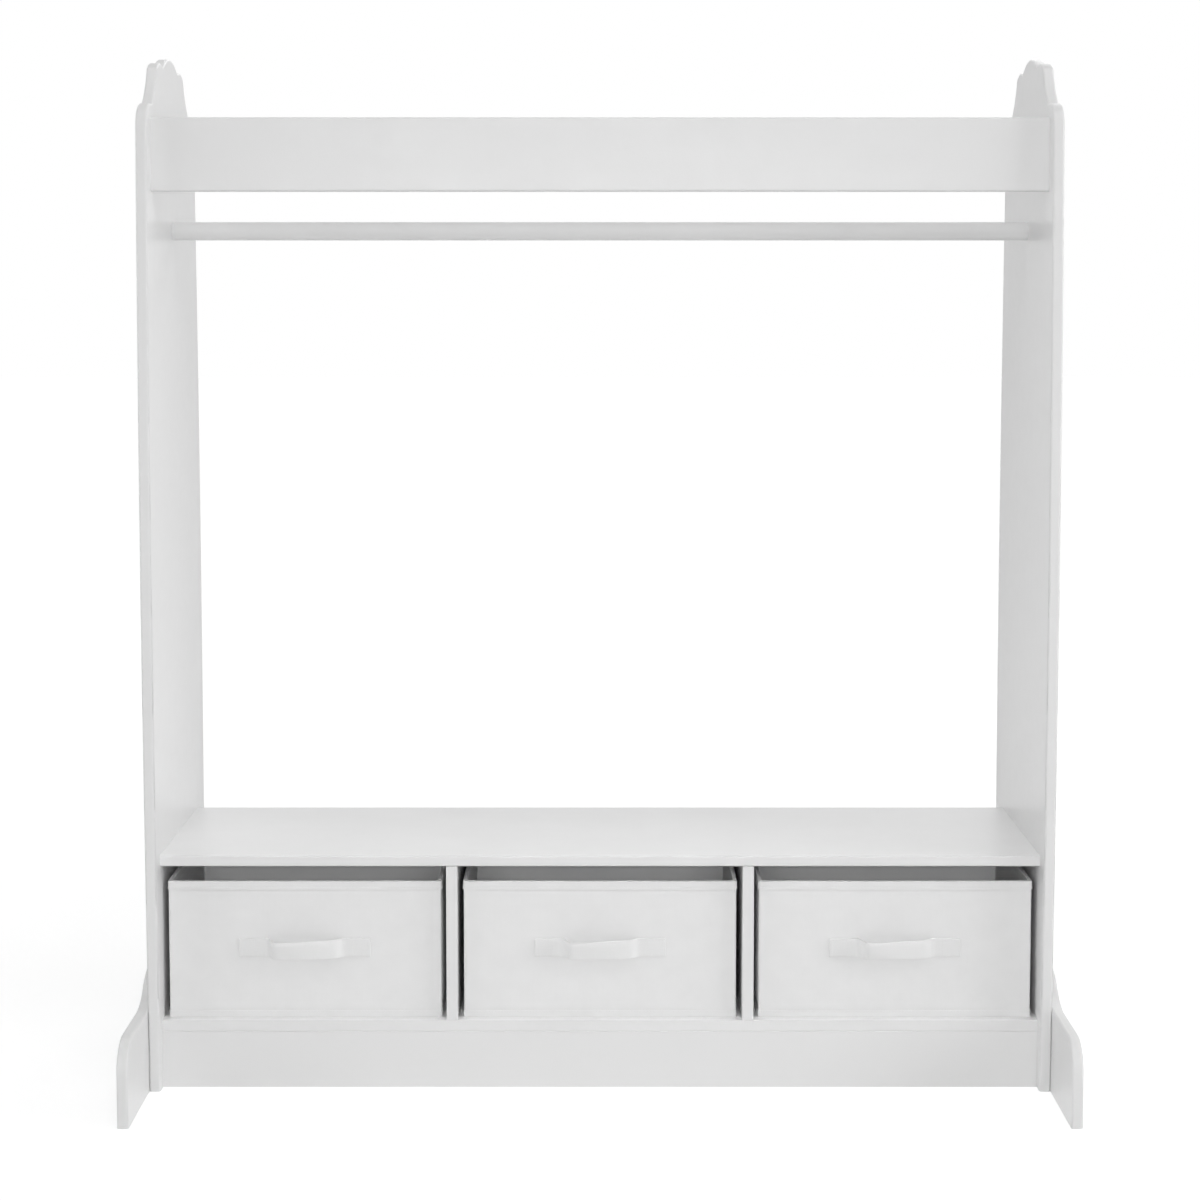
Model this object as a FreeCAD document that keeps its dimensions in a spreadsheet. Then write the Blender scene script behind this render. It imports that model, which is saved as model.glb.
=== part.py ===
"""Children's clothing rack with a bench, cubbies and fabric bins, in millimetres.

+X is to the right, +Y to the back and +Z up. The origin is on the floor, midway between the
side panels and midway between the front and back ends of the foot boards.
"""
import FreeCAD, Part
import math
import os
import re
from collections import namedtuple

import Sketcher
from FreeCAD import Placement, Rotation, Vector

SIZES = {
    # Boards
    "board": (12, "thickness of every painted board"),
    "carcass_width": (960, "width over the two side panels"),
    "overall_height": (1102, "floor to the top of the crown"),
    "edge_round": (2.5, "round on the open edges of the boards"),
    "edge_ease": (0.8, "small round on the front edges that meet another board"),
    # Side panels, all depths measured from front to back
    "panel_foot_depth": (282, "panel at the floor"),
    "bow_radius": (12400, "bow of the panel's front and back edges"),
    "shoulder_depth": (279, "panel at its shoulders"),
    "shoulder_drop": (56, "crown's top down to the shoulders"),
    "shoulder_round": (27, "round of the shoulders"),
    "cusp_depth": (214, "across the two cusps where the coves begin"),
    "cove_radius": (89, "hollow between cusp and side lobe"),
    "neck_depth": (150, "across the upper ends of the coves"),
    "neck_drop": (16, "crown's top down to the upper ends of the coves"),
    "lobe_radius": (28.5, "side lobes of the crown"),
    "notch_depth": (85, "across the two notches beside the middle lobe"),
    "notch_drop": (13, "crown's top down to the notches"),
    "cutter_radius": (3, "round that the cutter leaves in the crown's corners"),
    # Foot boards
    "foot_length": (502, "foot board from front to back"),
    "toe_height": (89, "flat top of the toes"),
    "toe_round": (33, "round at the tip of each toe"),
    "ogee_foot_depth": (300, "across the lower ends of the two ogees"),
    "ogee_top_depth": (148, "across the upper ends of the two ogees"),
    "ogee_rise": (31, "height that the ogees gain above the toes"),
    # Top rail and hanging rod
    "rail_height": (77, "top rail"),
    "rail_drop": (71, "crown's top down to the rail's upper edge"),
    "rail_setback": (17.5, "rail's face behind the panel's shoulder"),
    "rod_diameter": (20, "hanging rod"),
    "rod_drop": (186, "crown's top down to the middle of the rod"),
    "rod_chamfer": (1, "bevel on the rod's ends"),
    "socket_cover": (6, "panel left outside the rod's blind socket"),
    # Bench, cubbies and plinth
    "bench_height": (252, "floor to the bench's top"),
    "plinth_height": (61, "floor to the underside of the bottom shelf"),
    "shelf_setback": (15, "shelves' front behind the panel's foot"),
    "shelf_back_setback": (36, "shelves' back edge in front of the panel's foot"),
    "back_thickness": (3, "cubby back panel"),
    "back_reveal": (2, "back panel short of the shelves' outer faces and the side panels"),
    # Fastenings
    "fit": (0.1, "clearance all round a fastening in its hole"),
    "end_room": (0.5, "room past the tip of a fastening in its hole"),
    "tip_chamfer": (0.6, "bevel on dowels, bolt tips, nuts and caps"),
    "dowel_diameter": (6, "wood dowel"),
    "dowel_length": (25, "wood dowel"),
    "dowel_cover": (4, "board left behind the short end of a dowel"),
    "dowel_inset": (20.5, "end dowels from the shelves' front and back edges"),
    "rail_dowel_inset": (14, "dowels from the rail's upper and lower edges"),
    "toe_dowel_inset": (15, "end dowels from the toe-kick's upper and lower edges"),
    "bolt_diameter": (5, "shank of the bolts"),
    "bolt_head_diameter": (10, "flat bolt head"),
    "bolt_head_height": (3, "flat bolt head"),
    "bolt_inset": (45.5, "bolts and divider fastenings from the shelves' front and back edges"),
    "bolt_overrun": (5, "bolt tip past the middle of its nut"),
    "cap_thickness": (1.5, "cap that closes a bolt's recess"),
    "nut_diameter": (8, "barrel nut"),
    "nut_inset": (30, "middle of a barrel nut from the board's end"),
    "nut_cover": (1.5, "board left past the end of a barrel nut"),
    "key_across": (4, "hexagon socket of the bolts and screws, across its corners"),
    "key_depth": (1.8, "hexagon socket of the bolts and screws"),
    "screw_diameter": (4, "shank of the wood screws"),
    "screw_head_diameter": (8, "countersunk head"),
    "screw_head_height": (2.4, "countersunk head"),
    "screw_point": (4, "tapered tip of a screw"),
    "screw_length": (35, "rod and divider screws"),
    "screw_cover": (4, "foot board left past the tip of a foot screw"),
    "foot_screw_spacing": (160, "the two foot screws on a side, front to back"),
    "nail_diameter": (1.6, "back panel nail"),
    "nail_length": (16, "back panel nail"),
    "nail_head_diameter": (4, "back panel nail"),
    "nail_head_thickness": (0.8, "back panel nail"),
    "nail_inset": (68, "end nails from the side panels"),
    # Fabric bins
    "bin_side_gap": (5.5, "bin to divider or side panel"),
    "bin_top_gap": (18.5, "bin's rim to the bench"),
    "bin_setback": (11, "bin's front behind the shelves' front"),
    "bin_rear_gap": (8, "bin's back to the cubby back panel"),
    "bin_floor_gap": (0.3, "bin to the bottom shelf that it slides on"),
    "cover_cloth": (0.7, "outer fabric"),
    "lining_cloth": (0.5, "inner fabric"),
    "hem_cloth": (0.6, "binding of the rim"),
    "hem_height": (9, "binding of the rim"),
    "card": (1.6, "stiffener boards in the walls"),
    "base_card": (2.5, "loose base board"),
    "base_gap": (1, "base board to the lining"),
    "layer_gap": (0.1, "between the layers of a bin's wall"),
    "strap_length": (141, "handle strap from tab end to tab end"),
    "strap_loop": (80, "handle strap's raised middle"),
    "strap_width": (20.5, "handle strap"),
    "strap_drop": (72, "bin's rim down to the middle of the handle strap"),
    "strap_thickness": (2, "handle strap"),
    "strap_bow": (19, "handle strap's reach in front of the bin"),
    "strap_bend": (7, "outer bend of the handle strap"),
}

# Places and sizes that follow from the driving ones
OUTER = "(carcass_width / 2)"
INNER = "(carcass_width / 2 - board)"
SHOULDER_HEIGHT = "(overall_height - shoulder_drop)"
RAIL_TOP = "(overall_height - rail_drop)"
RAIL_FRONT = "(rail_setback - shoulder_depth / 2)"
RAIL_MIDDLE = f"({RAIL_TOP} - rail_height / 2)"
ROD_HEIGHT = "(overall_height - rod_drop)"
ROD_SOCKET = "(board - socket_cover)"
SHELF_FRONT = "(shelf_setback - panel_foot_depth / 2)"
SHELF_BACK = "(panel_foot_depth / 2 - shelf_back_setback)"
BENCH_UNDERSIDE = "(bench_height - board)"
CUBBY_FLOOR = "(plinth_height + board)"
CUBBY_WIDTH = "((carcass_width - 4 * board) / 3)"
CUBBY_PITCH = f"({CUBBY_WIDTH} + board)"
DOWEL_SHORT_END = "(board - dowel_cover)"
HEAD_RECESS = "(bolt_head_height + cap_thickness)"
NUT_LENGTH = "(board - 2 * nut_cover)"

# How far a cutting tool starts outside the board that it cuts
OVERCUT = 1
# Two lengths closer than this are the same when edges are picked
SAME = 0.01

SIDES = {"left": -1, "right": 1}
BINS = {"left": -1, "middle": 0, "right": 1}
UP = Vector(0, 0, 1)
DOWN = Vector(0, 0, -1)
FORWARD = Vector(0, -1, 0)

doc = FreeCAD.newDocument("clothing_rack")
sheet = doc.addObject("Spreadsheet::Sheet", "Sizes")
for row, (alias, (millimetres, meaning)) in enumerate(SIZES.items(), 1):
    sheet.set(f"A{row}", alias.replace("_", " ") + ": " + meaning)
    sheet.set(f"B{row}", str(millimetres))
    sheet.setAlias(f"B{row}", alias)
doc.recompute()

nodes = []
drills = {}
Place = namedtuple("Place", "x y z way boards")


def formula(text):
    """Turn a formula in plain size names into an expression on the sheet."""
    return re.sub(r"[a-z_]+", lambda word: "Sizes." * (word[0] in SIZES) + word[0], text)


def value(text):
    return float(sheet.evalExpression(formula(text)))


def bind(thing, size, text):
    thing.setExpression(size, formula(text))


def locate(thing, x="0", y="0", z="0"):
    bind(thing, "Placement.Base.x", x)
    bind(thing, "Placement.Base.y", y)
    bind(thing, "Placement.Base.z", z)


def keep(thing, node):
    """Name a finished sub-part and put it on the list of those that are written."""
    thing.Label = node
    nodes.append(thing)


def pin_coordinate(sketch, point, kind, text):
    """Fix a point's distance from the sketch's origin, along X or along Y."""
    distance = value(text)
    origin = (-1, 1)
    if abs(distance) < SAME:
        axis = -2 if kind == "DistanceX" else -1
        sketch.addConstraint(Sketcher.Constraint("PointOnObject", *point, axis))
    elif distance > 0:
        index = sketch.addConstraint(Sketcher.Constraint(kind, *origin, *point, distance))
        bind(sketch, f"Constraints[{index}]", text)
    else:
        index = sketch.addConstraint(Sketcher.Constraint(kind, *point, *origin, -distance))
        bind(sketch, f"Constraints[{index}]", f"-({text})")


def arc_between(start, end, bend):
    """The arc from start to end of an outline drawn counter-clockwise, bent out or in."""
    way, radius_text = bend
    radius = value(radius_text)
    chord = end - start
    rise = radius - math.sqrt(radius**2 - chord.Length**2 / 4)
    outwards = Vector(chord.y, -chord.x, 0).normalize()
    if way == "in":
        rise = -rise
    return Part.Arc(start, (start + end) / 2 + outwards * rise, end)


def closed_outline(sketch, corners):
    """Draw an outline counter-clockwise through corners (x, y) or (x, y, bend to the next corner)."""
    points = [Vector(value(corner[0]), value(corner[1]), 0) for corner in corners]
    starts = []
    ends = []
    for index, corner in enumerate(corners):
        start = points[index]
        end = points[(index + 1) % len(points)]
        if len(corner) == 2:
            line = sketch.addGeometry(Part.LineSegment(start, end))
            starts.append((line, 1))
            ends.append((line, 2))
            continue
        arc = sketch.addGeometry(arc_between(start, end, corner[2]))
        first = 1 if sketch.getPoint(arc, 1).distanceToPoint(start) < SAME else 2
        starts.append((arc, first))
        ends.append((arc, 3 - first))
    for index, corner in enumerate(corners):
        sketch.addConstraint(Sketcher.Constraint("Coincident", *ends[index - 1], *starts[index]))
        pin_coordinate(sketch, starts[index], "DistanceX", corner[0])
        pin_coordinate(sketch, starts[index], "DistanceY", corner[1])
    for (edge, _), corner in zip(starts, corners):
        if len(corner) == 3:
            radius = value(corner[2][1])
            index = sketch.addConstraint(Sketcher.Constraint("Radius", edge, radius))
            bind(sketch, f"Constraints[{index}]", corner[2][1])


def origin_plane(body, role):
    return next(feature for feature in body.Origin.OriginFeatures if feature.Role == role)


def outlined_body(name, plane, corners):
    """A new body with one closed sketch on one of its origin planes."""
    body = doc.addObject("PartDesign::Body", name)
    sketch = body.newObject("Sketcher::SketchObject", name + "_outline")
    sketch.AttachmentSupport = [(origin_plane(body, plane), "")]
    sketch.MapMode = "FlatFace"
    closed_outline(sketch, corners)
    return body, sketch


def padded_body(name, plane, corners, thickness):
    """A board sawn to an outline: it is padded towards +X, +Y or +Z from its own plane."""
    body, sketch = outlined_body(name, plane, corners)
    pad = body.newObject("PartDesign::Pad", name + "_pad")
    pad.Profile = sketch
    pad.Reversed = plane == "XZ_Plane"
    bind(pad, "Length", thickness)
    return body


def turned_body(name, profile):
    """A half profile of (radius, height) corners turned about the body's own Z axis."""
    body, sketch = outlined_body(name, "XZ_Plane", profile)
    turn = body.newObject("PartDesign::Revolution", name + "_turn")
    turn.Profile = sketch
    turn.ReferenceAxis = (sketch, ["V_Axis"])
    turn.Angle = 360
    return body


def round_edges(body, radius, wanted):
    """Round the edges of a body that a test picks out."""
    doc.recompute()
    last = body.Tip
    picked = [f"Edge{number}" for number, edge in enumerate(last.Shape.Edges, 1) if wanted(edge)]
    fillet = body.newObject("PartDesign::Fillet", body.Name + "_round")
    fillet.Base = (last, picked)
    bind(fillet, "Radius", radius)


def plain_pin(radius, low, high):
    """Half profile of a straight pin between two heights."""
    return [("0", low), (radius, low), (radius, high), ("0", high)]


def bevelled_pin(radius, low, high, bevel):
    """Half profile of a pin with bevelled ends."""
    return [
        ("0", low),
        (f"{radius} - {bevel}", low),
        (radius, f"{low} + {bevel}"),
        (radius, f"{high} - {bevel}"),
        (f"{radius} - {bevel}", high),
        ("0", high),
    ]


def rectangle(low, high):
    """Corners of a rectangle, counter-clockwise from the lower left."""
    return [low, (high[0], low[1]), high, (low[0], high[1])]


def mirrored(half):
    """A whole outline from its right half, listed counter-clockwise from the bottom to the top."""
    left = []
    for index in reversed(range(len(half))):
        bend = half[index - 1][2:] if index else ()
        left.append((f"-({half[index][0]})", half[index][1], *bend))
    return half + left


def block(name, low, high):
    """A box between two corners."""
    box = doc.addObject("Part::Box", name)
    for size, near, far in zip(("Length", "Width", "Height"), low, high):
        bind(box, size, f"({far}) - ({near})")
    locate(box, *low)
    return box


def cut_from(name, base, tool):
    cut = doc.addObject("Part::Cut", name)
    cut.Base = base
    cut.Tool = tool
    return cut


def drilled(node, blank):
    """Finish a board: cut the holes of all the fastenings that go through it."""
    holes = doc.addObject("Part::MultiFuse", node + "_holes")
    holes.Shapes = drills[node]
    keep(cut_from(node, blank, holes), node)


def copy_at(master, name, place):
    """A copy of a turned body at a place, with its Z axis turned the place's way."""
    copy = doc.addObject("App::Link", name)
    copy.LinkedObject = master
    turn = place.way
    if isinstance(turn, Vector):
        turn = Rotation(UP, turn)
    copy.Placement = Placement(Vector(), turn)
    locate(copy, place.x, place.y, place.z)
    return copy


def fastenings(node, master, places, drill=None):
    """Put a fastening at each place, and its hole into each board there."""
    copies = []
    for number, place in enumerate(places, 1):
        copies.append(copy_at(master, f"{node}_{number}", place))
        if drill:
            hole = copy_at(drill, f"{node}_hole_{number}", place)
            for board in place.boards:
                drills.setdefault(board, []).append(hole)
    group = doc.addObject("Part::Compound", node)
    group.Links = copies
    keep(group, node)


def key_socket(body, height):
    """Sink a hexagon socket into a head whose outer face is at the given height."""
    socket = body.newObject("PartDesign::SubtractivePrism", body.Name + "_socket")
    socket.AttachmentSupport = [(origin_plane(body, "XY_Plane"), "")]
    socket.MapMode = "FlatFace"
    socket.Polygon = 6
    bind(socket, "Circumradius", "key_across / 2")
    bind(socket, "Height", "key_depth")
    bind(socket, "AttachmentOffset.Base.z", height)


def inwards(sign):
    """The way into the rack from the left (-1) or right (+1) side."""
    return Vector(-sign, 0, 0)


def runs_along(edge, direction):
    """True for a straight edge along a direction."""
    if len(edge.Vertexes) != 2:
        return False
    span = edge.Vertexes[1].Point - edge.Vertexes[0].Point
    return abs(span.Length - edge.Length) < SAME and abs(abs(span.dot(direction)) - span.Length) < SAME


def outline_edge(edge):
    """True for an edge of an upright board's two faces, other than along the floor."""
    box = edge.BoundBox
    return box.XLength < SAME and box.ZMax > SAME


# Side panels: bowed edges, rounded shoulders, and a crown of three lobes between two coves

def crown_corner(edge):
    """True for a corner of the crown at a cusp, neck or notch."""
    middle = edge.CenterOfMass
    inside = abs(middle.y) < value("cusp_depth / 2") + SAME
    return runs_along(edge, Vector(1, 0, 0)) and inside and middle.z > value(SHOULDER_HEIGHT) - SAME


def shoulder_corner(edge):
    middle = edge.CenterOfMass
    outside = abs(middle.y) > value("cusp_depth / 2") + SAME
    return runs_along(edge, Vector(1, 0, 0)) and outside and middle.z > value(SHOULDER_HEIGHT) - SAME


def side_panel(node, x):
    crown_radius = "((notch_depth / 2)^2 + notch_drop^2) / (2 * notch_drop)"
    body = padded_body(node + "_blank", "YZ_Plane", mirrored([
        ("panel_foot_depth / 2", "0", ("out", "bow_radius")),
        ("shoulder_depth / 2", SHOULDER_HEIGHT),
        ("cusp_depth / 2", SHOULDER_HEIGHT, ("in", "cove_radius")),
        ("neck_depth / 2", "overall_height - neck_drop", ("out", "lobe_radius")),
        ("notch_depth / 2", "overall_height - notch_drop", ("out", crown_radius)),
    ]), "board")
    locate(body, x=x)
    shoulder_room = "(shoulder_depth - cusp_depth) / 2 - cutter_radius"
    round_edges(body, f"min(shoulder_round; {shoulder_room})", shoulder_corner)
    round_edges(body, "cutter_radius", crown_corner)
    round_edges(body, "edge_round", outline_edge)
    return body


# Foot boards: a low toe at each end, joined to the raised middle by an ogee

def toe_corner(edge):
    middle = edge.CenterOfMass
    at_tip = abs(abs(middle.y) - value("foot_length / 2")) < SAME
    return runs_along(edge, Vector(1, 0, 0)) and at_tip and middle.z > SAME


def foot_board(node, x):
    run = "((ogee_foot_depth - ogee_top_depth) / 2)"
    ogee_radius = f"({run}^2 + ogee_rise^2) / (4 * ogee_rise)"
    body = padded_body(node + "_blank", "YZ_Plane", mirrored([
        ("foot_length / 2", "0"),
        ("foot_length / 2", "toe_height"),
        ("ogee_foot_depth / 2", "toe_height", ("in", ogee_radius)),
        ("(ogee_foot_depth + ogee_top_depth) / 4", "toe_height + ogee_rise / 2", ("out", ogee_radius)),
        ("ogee_top_depth / 2", "toe_height + ogee_rise"),
    ]), "board")
    locate(body, x=x)
    round_edges(body, "toe_round", toe_corner)
    round_edges(body, "edge_round", outline_edge)
    return body


# Boards between the side panels

def long_edge(edge):
    return runs_along(edge, Vector(1, 0, 0))


def front_edge(edge):
    """True for a long edge at the shelves' front."""
    return runs_along(edge, Vector(1, 0, 0)) and abs(edge.CenterOfMass.y - value(SHELF_FRONT)) < SAME


def front_upright_edge(edge):
    """True for an upright edge at the shelves' front."""
    return runs_along(edge, UP) and abs(edge.CenterOfMass.y - value(SHELF_FRONT)) < SAME


def upper_front_edge(edge):
    """True for the upper front edge of a board whose own front is at 0."""
    middle = edge.CenterOfMass
    return runs_along(edge, Vector(1, 0, 0)) and abs(middle.y) < SAME and middle.z > SAME


def shelf(node, underside, radius, wanted):
    body = padded_body(node + "_blank", "XY_Plane",
                       rectangle((f"-{INNER}", SHELF_FRONT), (INNER, SHELF_BACK)), "board")
    locate(body, z=underside)
    round_edges(body, radius, wanted)
    return body


def front_board(node, front, bottom, top, radius, wanted):
    body = padded_body(node + "_blank", "XZ_Plane",
                       rectangle((f"-{INNER}", bottom), (INNER, top)), "board")
    locate(body, y=front)
    round_edges(body, radius, wanted)
    return body


def divider(node, sign):
    body = padded_body(node + "_blank", "YZ_Plane",
                       rectangle((SHELF_FRONT, CUBBY_FLOOR), (SHELF_BACK, BENCH_UNDERSIDE)), "board")
    locate(body, x=f"{sign} * {CUBBY_PITCH} / 2 - board / 2")
    round_edges(body, "edge_ease", front_upright_edge)
    return body


def hanging_rod():
    half = f"({INNER} + {ROD_SOCKET} - fit)"
    body = turned_body("hanging_rod_blank", bevelled_pin("rod_diameter / 2", f"-{half}", half, "rod_chamfer"))
    body.Placement = Placement(Vector(), Rotation(UP, Vector(1, 0, 0)))
    locate(body, z=ROD_HEIGHT)
    return body


def rod_sockets():
    """One round tool along the rod that cuts the blind socket in each side panel."""
    tool = doc.addObject("Part::Cylinder", "rod_sockets")
    bind(tool, "Radius", "rod_diameter / 2 + fit")
    bind(tool, "Height", f"2 * ({INNER} + {ROD_SOCKET})")
    tool.Placement = Placement(Vector(), Rotation(UP, Vector(1, 0, 0)))
    locate(tool, x=f"-({INNER} + {ROD_SOCKET})", z=ROD_HEIGHT)
    for side in SIDES:
        drills.setdefault(side + "_side_panel", []).append(tool)


blanks = {
    "top_rail": front_board("top_rail", RAIL_FRONT, f"{RAIL_TOP} - rail_height", RAIL_TOP,
                            "edge_round", long_edge),
    "bench_shelf": shelf("bench_shelf", BENCH_UNDERSIDE, "edge_round", long_edge),
    "bottom_shelf": shelf("bottom_shelf", "plinth_height", "edge_ease", front_edge),
    "toe_kick_board": front_board("toe_kick_board", SHELF_FRONT, "0", "plinth_height",
                                  "edge_ease", upper_front_edge),
    "hanging_rod": hanging_rod(),
    "cubby_back_panel": padded_body(
        "cubby_back_panel_blank", "XZ_Plane",
        rectangle((f"back_reveal - {INNER}", "plinth_height + back_reveal"),
                  (f"{INNER} - back_reveal", "bench_height - back_reveal")), "back_thickness"),
}
locate(blanks["cubby_back_panel"], y=SHELF_BACK)
for side, sign in SIDES.items():
    panel_start = INNER if sign > 0 else f"-{OUTER}"
    foot_start = OUTER if sign > 0 else f"-{OUTER} - board"
    blanks[side + "_side_panel"] = side_panel(side + "_side_panel", panel_start)
    blanks[side + "_foot_board"] = foot_board(side + "_foot_board", foot_start)
    blanks[side + "_divider"] = divider(side + "_divider", sign)
rod_sockets()


# Wood dowels: the short end sits in the board that is named first

def dowel_places():
    toe_kick_middle = f"{SHELF_FRONT} + board / 2"
    for side, sign in SIDES.items():
        panel = side + "_side_panel"
        x = f"{sign} * {INNER}"
        for z in (f"{RAIL_TOP} - rail_dowel_inset", f"{RAIL_TOP} - rail_height + rail_dowel_inset"):
            yield Place(x, f"{RAIL_FRONT} + board / 2", z, inwards(sign), (panel, "top_rail"))
        for y in (f"{SHELF_FRONT} + dowel_inset", f"{SHELF_BACK} - dowel_inset"):
            yield Place(x, y, f"{BENCH_UNDERSIDE} + board / 2", inwards(sign), (panel, "bench_shelf"))
            yield Place(x, y, "plinth_height + board / 2", inwards(sign), (panel, "bottom_shelf"))
        for z in ("toe_dowel_inset", "plinth_height - toe_dowel_inset"):
            yield Place(x, toe_kick_middle, z, inwards(sign), (panel, "toe_kick_board"))
        for y in (f"{SHELF_FRONT} + bolt_inset", f"{SHELF_BACK} - bolt_inset"):
            yield Place(f"{sign} * {CUBBY_PITCH} / 2", y, BENCH_UNDERSIDE, DOWN,
                        ("bench_shelf", side + "_divider"))
    for share in (-1, 0, 1):
        yield Place(f"{share} * {INNER} / 2", toe_kick_middle, "plinth_height", DOWN,
                    ("bottom_shelf", "toe_kick_board"))


def wood_dowels():
    short_end = f"-{DOWEL_SHORT_END}"
    long_end = f"(dowel_length - {DOWEL_SHORT_END})"
    dowel = turned_body("dowel", bevelled_pin("dowel_diameter / 2", short_end, long_end, "tip_chamfer"))
    drill = turned_body("dowel_drill", plain_pin("dowel_diameter / 2 + fit", f"{short_end} - end_room",
                                                 f"{long_end} + end_room"))
    fastenings("wood_dowels", dowel, dowel_places(), drill)


# Bolts, their barrel nuts and their caps: a bolt's head seats at its height 0

def bolt(name, grip):
    head = "bolt_head_diameter / 2"
    shank = "bolt_diameter / 2"
    body = turned_body(name, [
        ("0", "-bolt_head_height"),
        (head, "-bolt_head_height"),
        (head, "0"),
        (shank, "0"),
        (shank, f"{grip} - tip_chamfer"),
        (f"{shank} - tip_chamfer", grip),
        ("0", grip),
    ])
    key_socket(body, "-bolt_head_height")
    return body


def bolt_drill(name, grip):
    head = "bolt_head_diameter / 2 + fit"
    shank = "bolt_diameter / 2 + fit"
    outside = f"-{HEAD_RECESS} - {OVERCUT}"
    return turned_body(name, [
        ("0", outside),
        (head, outside),
        (head, "0"),
        (shank, "0"),
        (shank, f"{grip} + end_room"),
        ("0", f"{grip} + end_room"),
    ])


def bolt_cap():
    radius = "bolt_head_diameter / 2"
    return turned_body("bolt_cap", [
        ("0", f"-{HEAD_RECESS}"),
        (f"{radius} - tip_chamfer", f"-{HEAD_RECESS}"),
        (radius, f"tip_chamfer - {HEAD_RECESS}"),
        (radius, "-bolt_head_height"),
        ("0", "-bolt_head_height"),
    ])


def barrel_nut():
    body = turned_body("barrel_nut", bevelled_pin("nut_diameter / 2", f"-{NUT_LENGTH} / 2",
                                                  f"{NUT_LENGTH} / 2", "tip_chamfer"))
    bore = body.newObject("PartDesign::SubtractiveCylinder", "barrel_nut_bore")
    bore.AttachmentSupport = [(origin_plane(body, "YZ_Plane"), "")]
    bore.MapMode = "FlatFace"
    bind(bore, "Radius", "bolt_diameter / 2 + fit")
    bind(bore, "Height", "2 * nut_diameter")
    bind(bore, "AttachmentOffset.Base.z", "-nut_diameter")
    return body


def shelf_bolt_rows(underside):
    """The two bolts in a shelf's end, as depth and height."""
    for y in (f"{SHELF_FRONT} + bolt_inset", f"{SHELF_BACK} - bolt_inset"):
        yield y, f"{underside} + board / 2"


def bolts_and_nuts():
    panel_bolts = []
    foot_bolts = []
    nuts = []
    rail_y = f"{RAIL_FRONT} + board / 2"
    open_at_back = Rotation(Vector(1, 0, 0), 90)
    open_below = Rotation()
    for side, sign in SIDES.items():
        panel = side + "_side_panel"
        foot = side + "_foot_board"
        nut_x = f"{sign} * ({INNER} - nut_inset)"
        panel_seat = f"{sign} * ({OUTER} - {HEAD_RECESS})"
        foot_seat = f"{sign} * ({OUTER} + board - {HEAD_RECESS})"
        panel_bolts.append(Place(panel_seat, rail_y, RAIL_MIDDLE, inwards(sign), (panel, "top_rail")))
        nuts.append(Place(nut_x, rail_y, RAIL_MIDDLE, open_at_back, ("top_rail",)))
        for y, z in shelf_bolt_rows(BENCH_UNDERSIDE):
            panel_bolts.append(Place(panel_seat, y, z, inwards(sign), (panel, "bench_shelf")))
            nuts.append(Place(nut_x, y, z, open_below, ("bench_shelf",)))
        for y, z in shelf_bolt_rows("plinth_height"):
            foot_bolts.append(Place(foot_seat, y, z, inwards(sign), (foot, panel, "bottom_shelf")))
            nuts.append(Place(nut_x, y, z, open_below, ("bottom_shelf",)))
    panel_grip = f"(board - {HEAD_RECESS} + nut_inset + bolt_overrun)"
    foot_grip = f"(2 * board - {HEAD_RECESS} + nut_inset + bolt_overrun)"
    nut_drill = turned_body("nut_drill", plain_pin("nut_diameter / 2 + fit", f"-board / 2 - {OVERCUT}",
                                                   f"{NUT_LENGTH} / 2 + fit"))
    fastenings("panel_bolts", bolt("panel_bolt", panel_grip), panel_bolts,
               bolt_drill("panel_bolt_drill", panel_grip))
    fastenings("foot_bolts", bolt("foot_bolt", foot_grip), foot_bolts,
               bolt_drill("foot_bolt_drill", foot_grip))
    fastenings("barrel_nuts", barrel_nut(), nuts, nut_drill)
    fastenings("bolt_caps", bolt_cap(), panel_bolts + foot_bolts)


# Countersunk wood screws, their heads flush at height 0

def screw(name, length):
    shank = "screw_diameter / 2"
    body = turned_body(name, [
        ("0", "0"),
        ("screw_head_diameter / 2", "0"),
        (shank, "screw_head_height"),
        (shank, f"{length} - screw_point"),
        ("0", length),
    ])
    key_socket(body, "0")
    return body


def screw_drill(name, length):
    head = "screw_head_diameter / 2 + fit"
    shank = "screw_diameter / 2 + fit"
    return turned_body(name, [
        ("0", f"-{OVERCUT}"),
        (head, f"-{OVERCUT}"),
        (head, "0"),
        (shank, "screw_head_height"),
        (shank, f"{length} + end_room"),
        ("0", f"{length} + end_room"),
    ])


def wood_screws():
    rod_screws = []
    divider_screws = []
    foot_screws = []
    for side, sign in SIDES.items():
        panel = side + "_side_panel"
        rod_screws.append(Place(f"{sign} * {OUTER}", "0", ROD_HEIGHT, inwards(sign), (panel, "hanging_rod")))
        for y, _ in shelf_bolt_rows("plinth_height"):
            divider_screws.append(Place(f"{sign} * {CUBBY_PITCH} / 2", y, "plinth_height", UP,
                                        ("bottom_shelf", side + "_divider")))
        for end in (-1, 1):
            foot_screws.append(Place(f"{sign} * {INNER}", f"{end} * foot_screw_spacing / 2",
                                     "plinth_height / 2", -inwards(sign), (panel, side + "_foot_board")))
    foot_screw_length = "(2 * board - screw_cover)"
    long_screw = screw("long_screw", "screw_length")
    long_drill = screw_drill("long_screw_drill", "screw_length")
    fastenings("rod_screws", long_screw, rod_screws, long_drill)
    fastenings("divider_screws", long_screw, divider_screws, long_drill)
    fastenings("foot_screws", screw("foot_screw", foot_screw_length), foot_screws,
               screw_drill("foot_screw_drill", foot_screw_length))


# Nails of the cubby back panel, their heads on its back face

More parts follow.
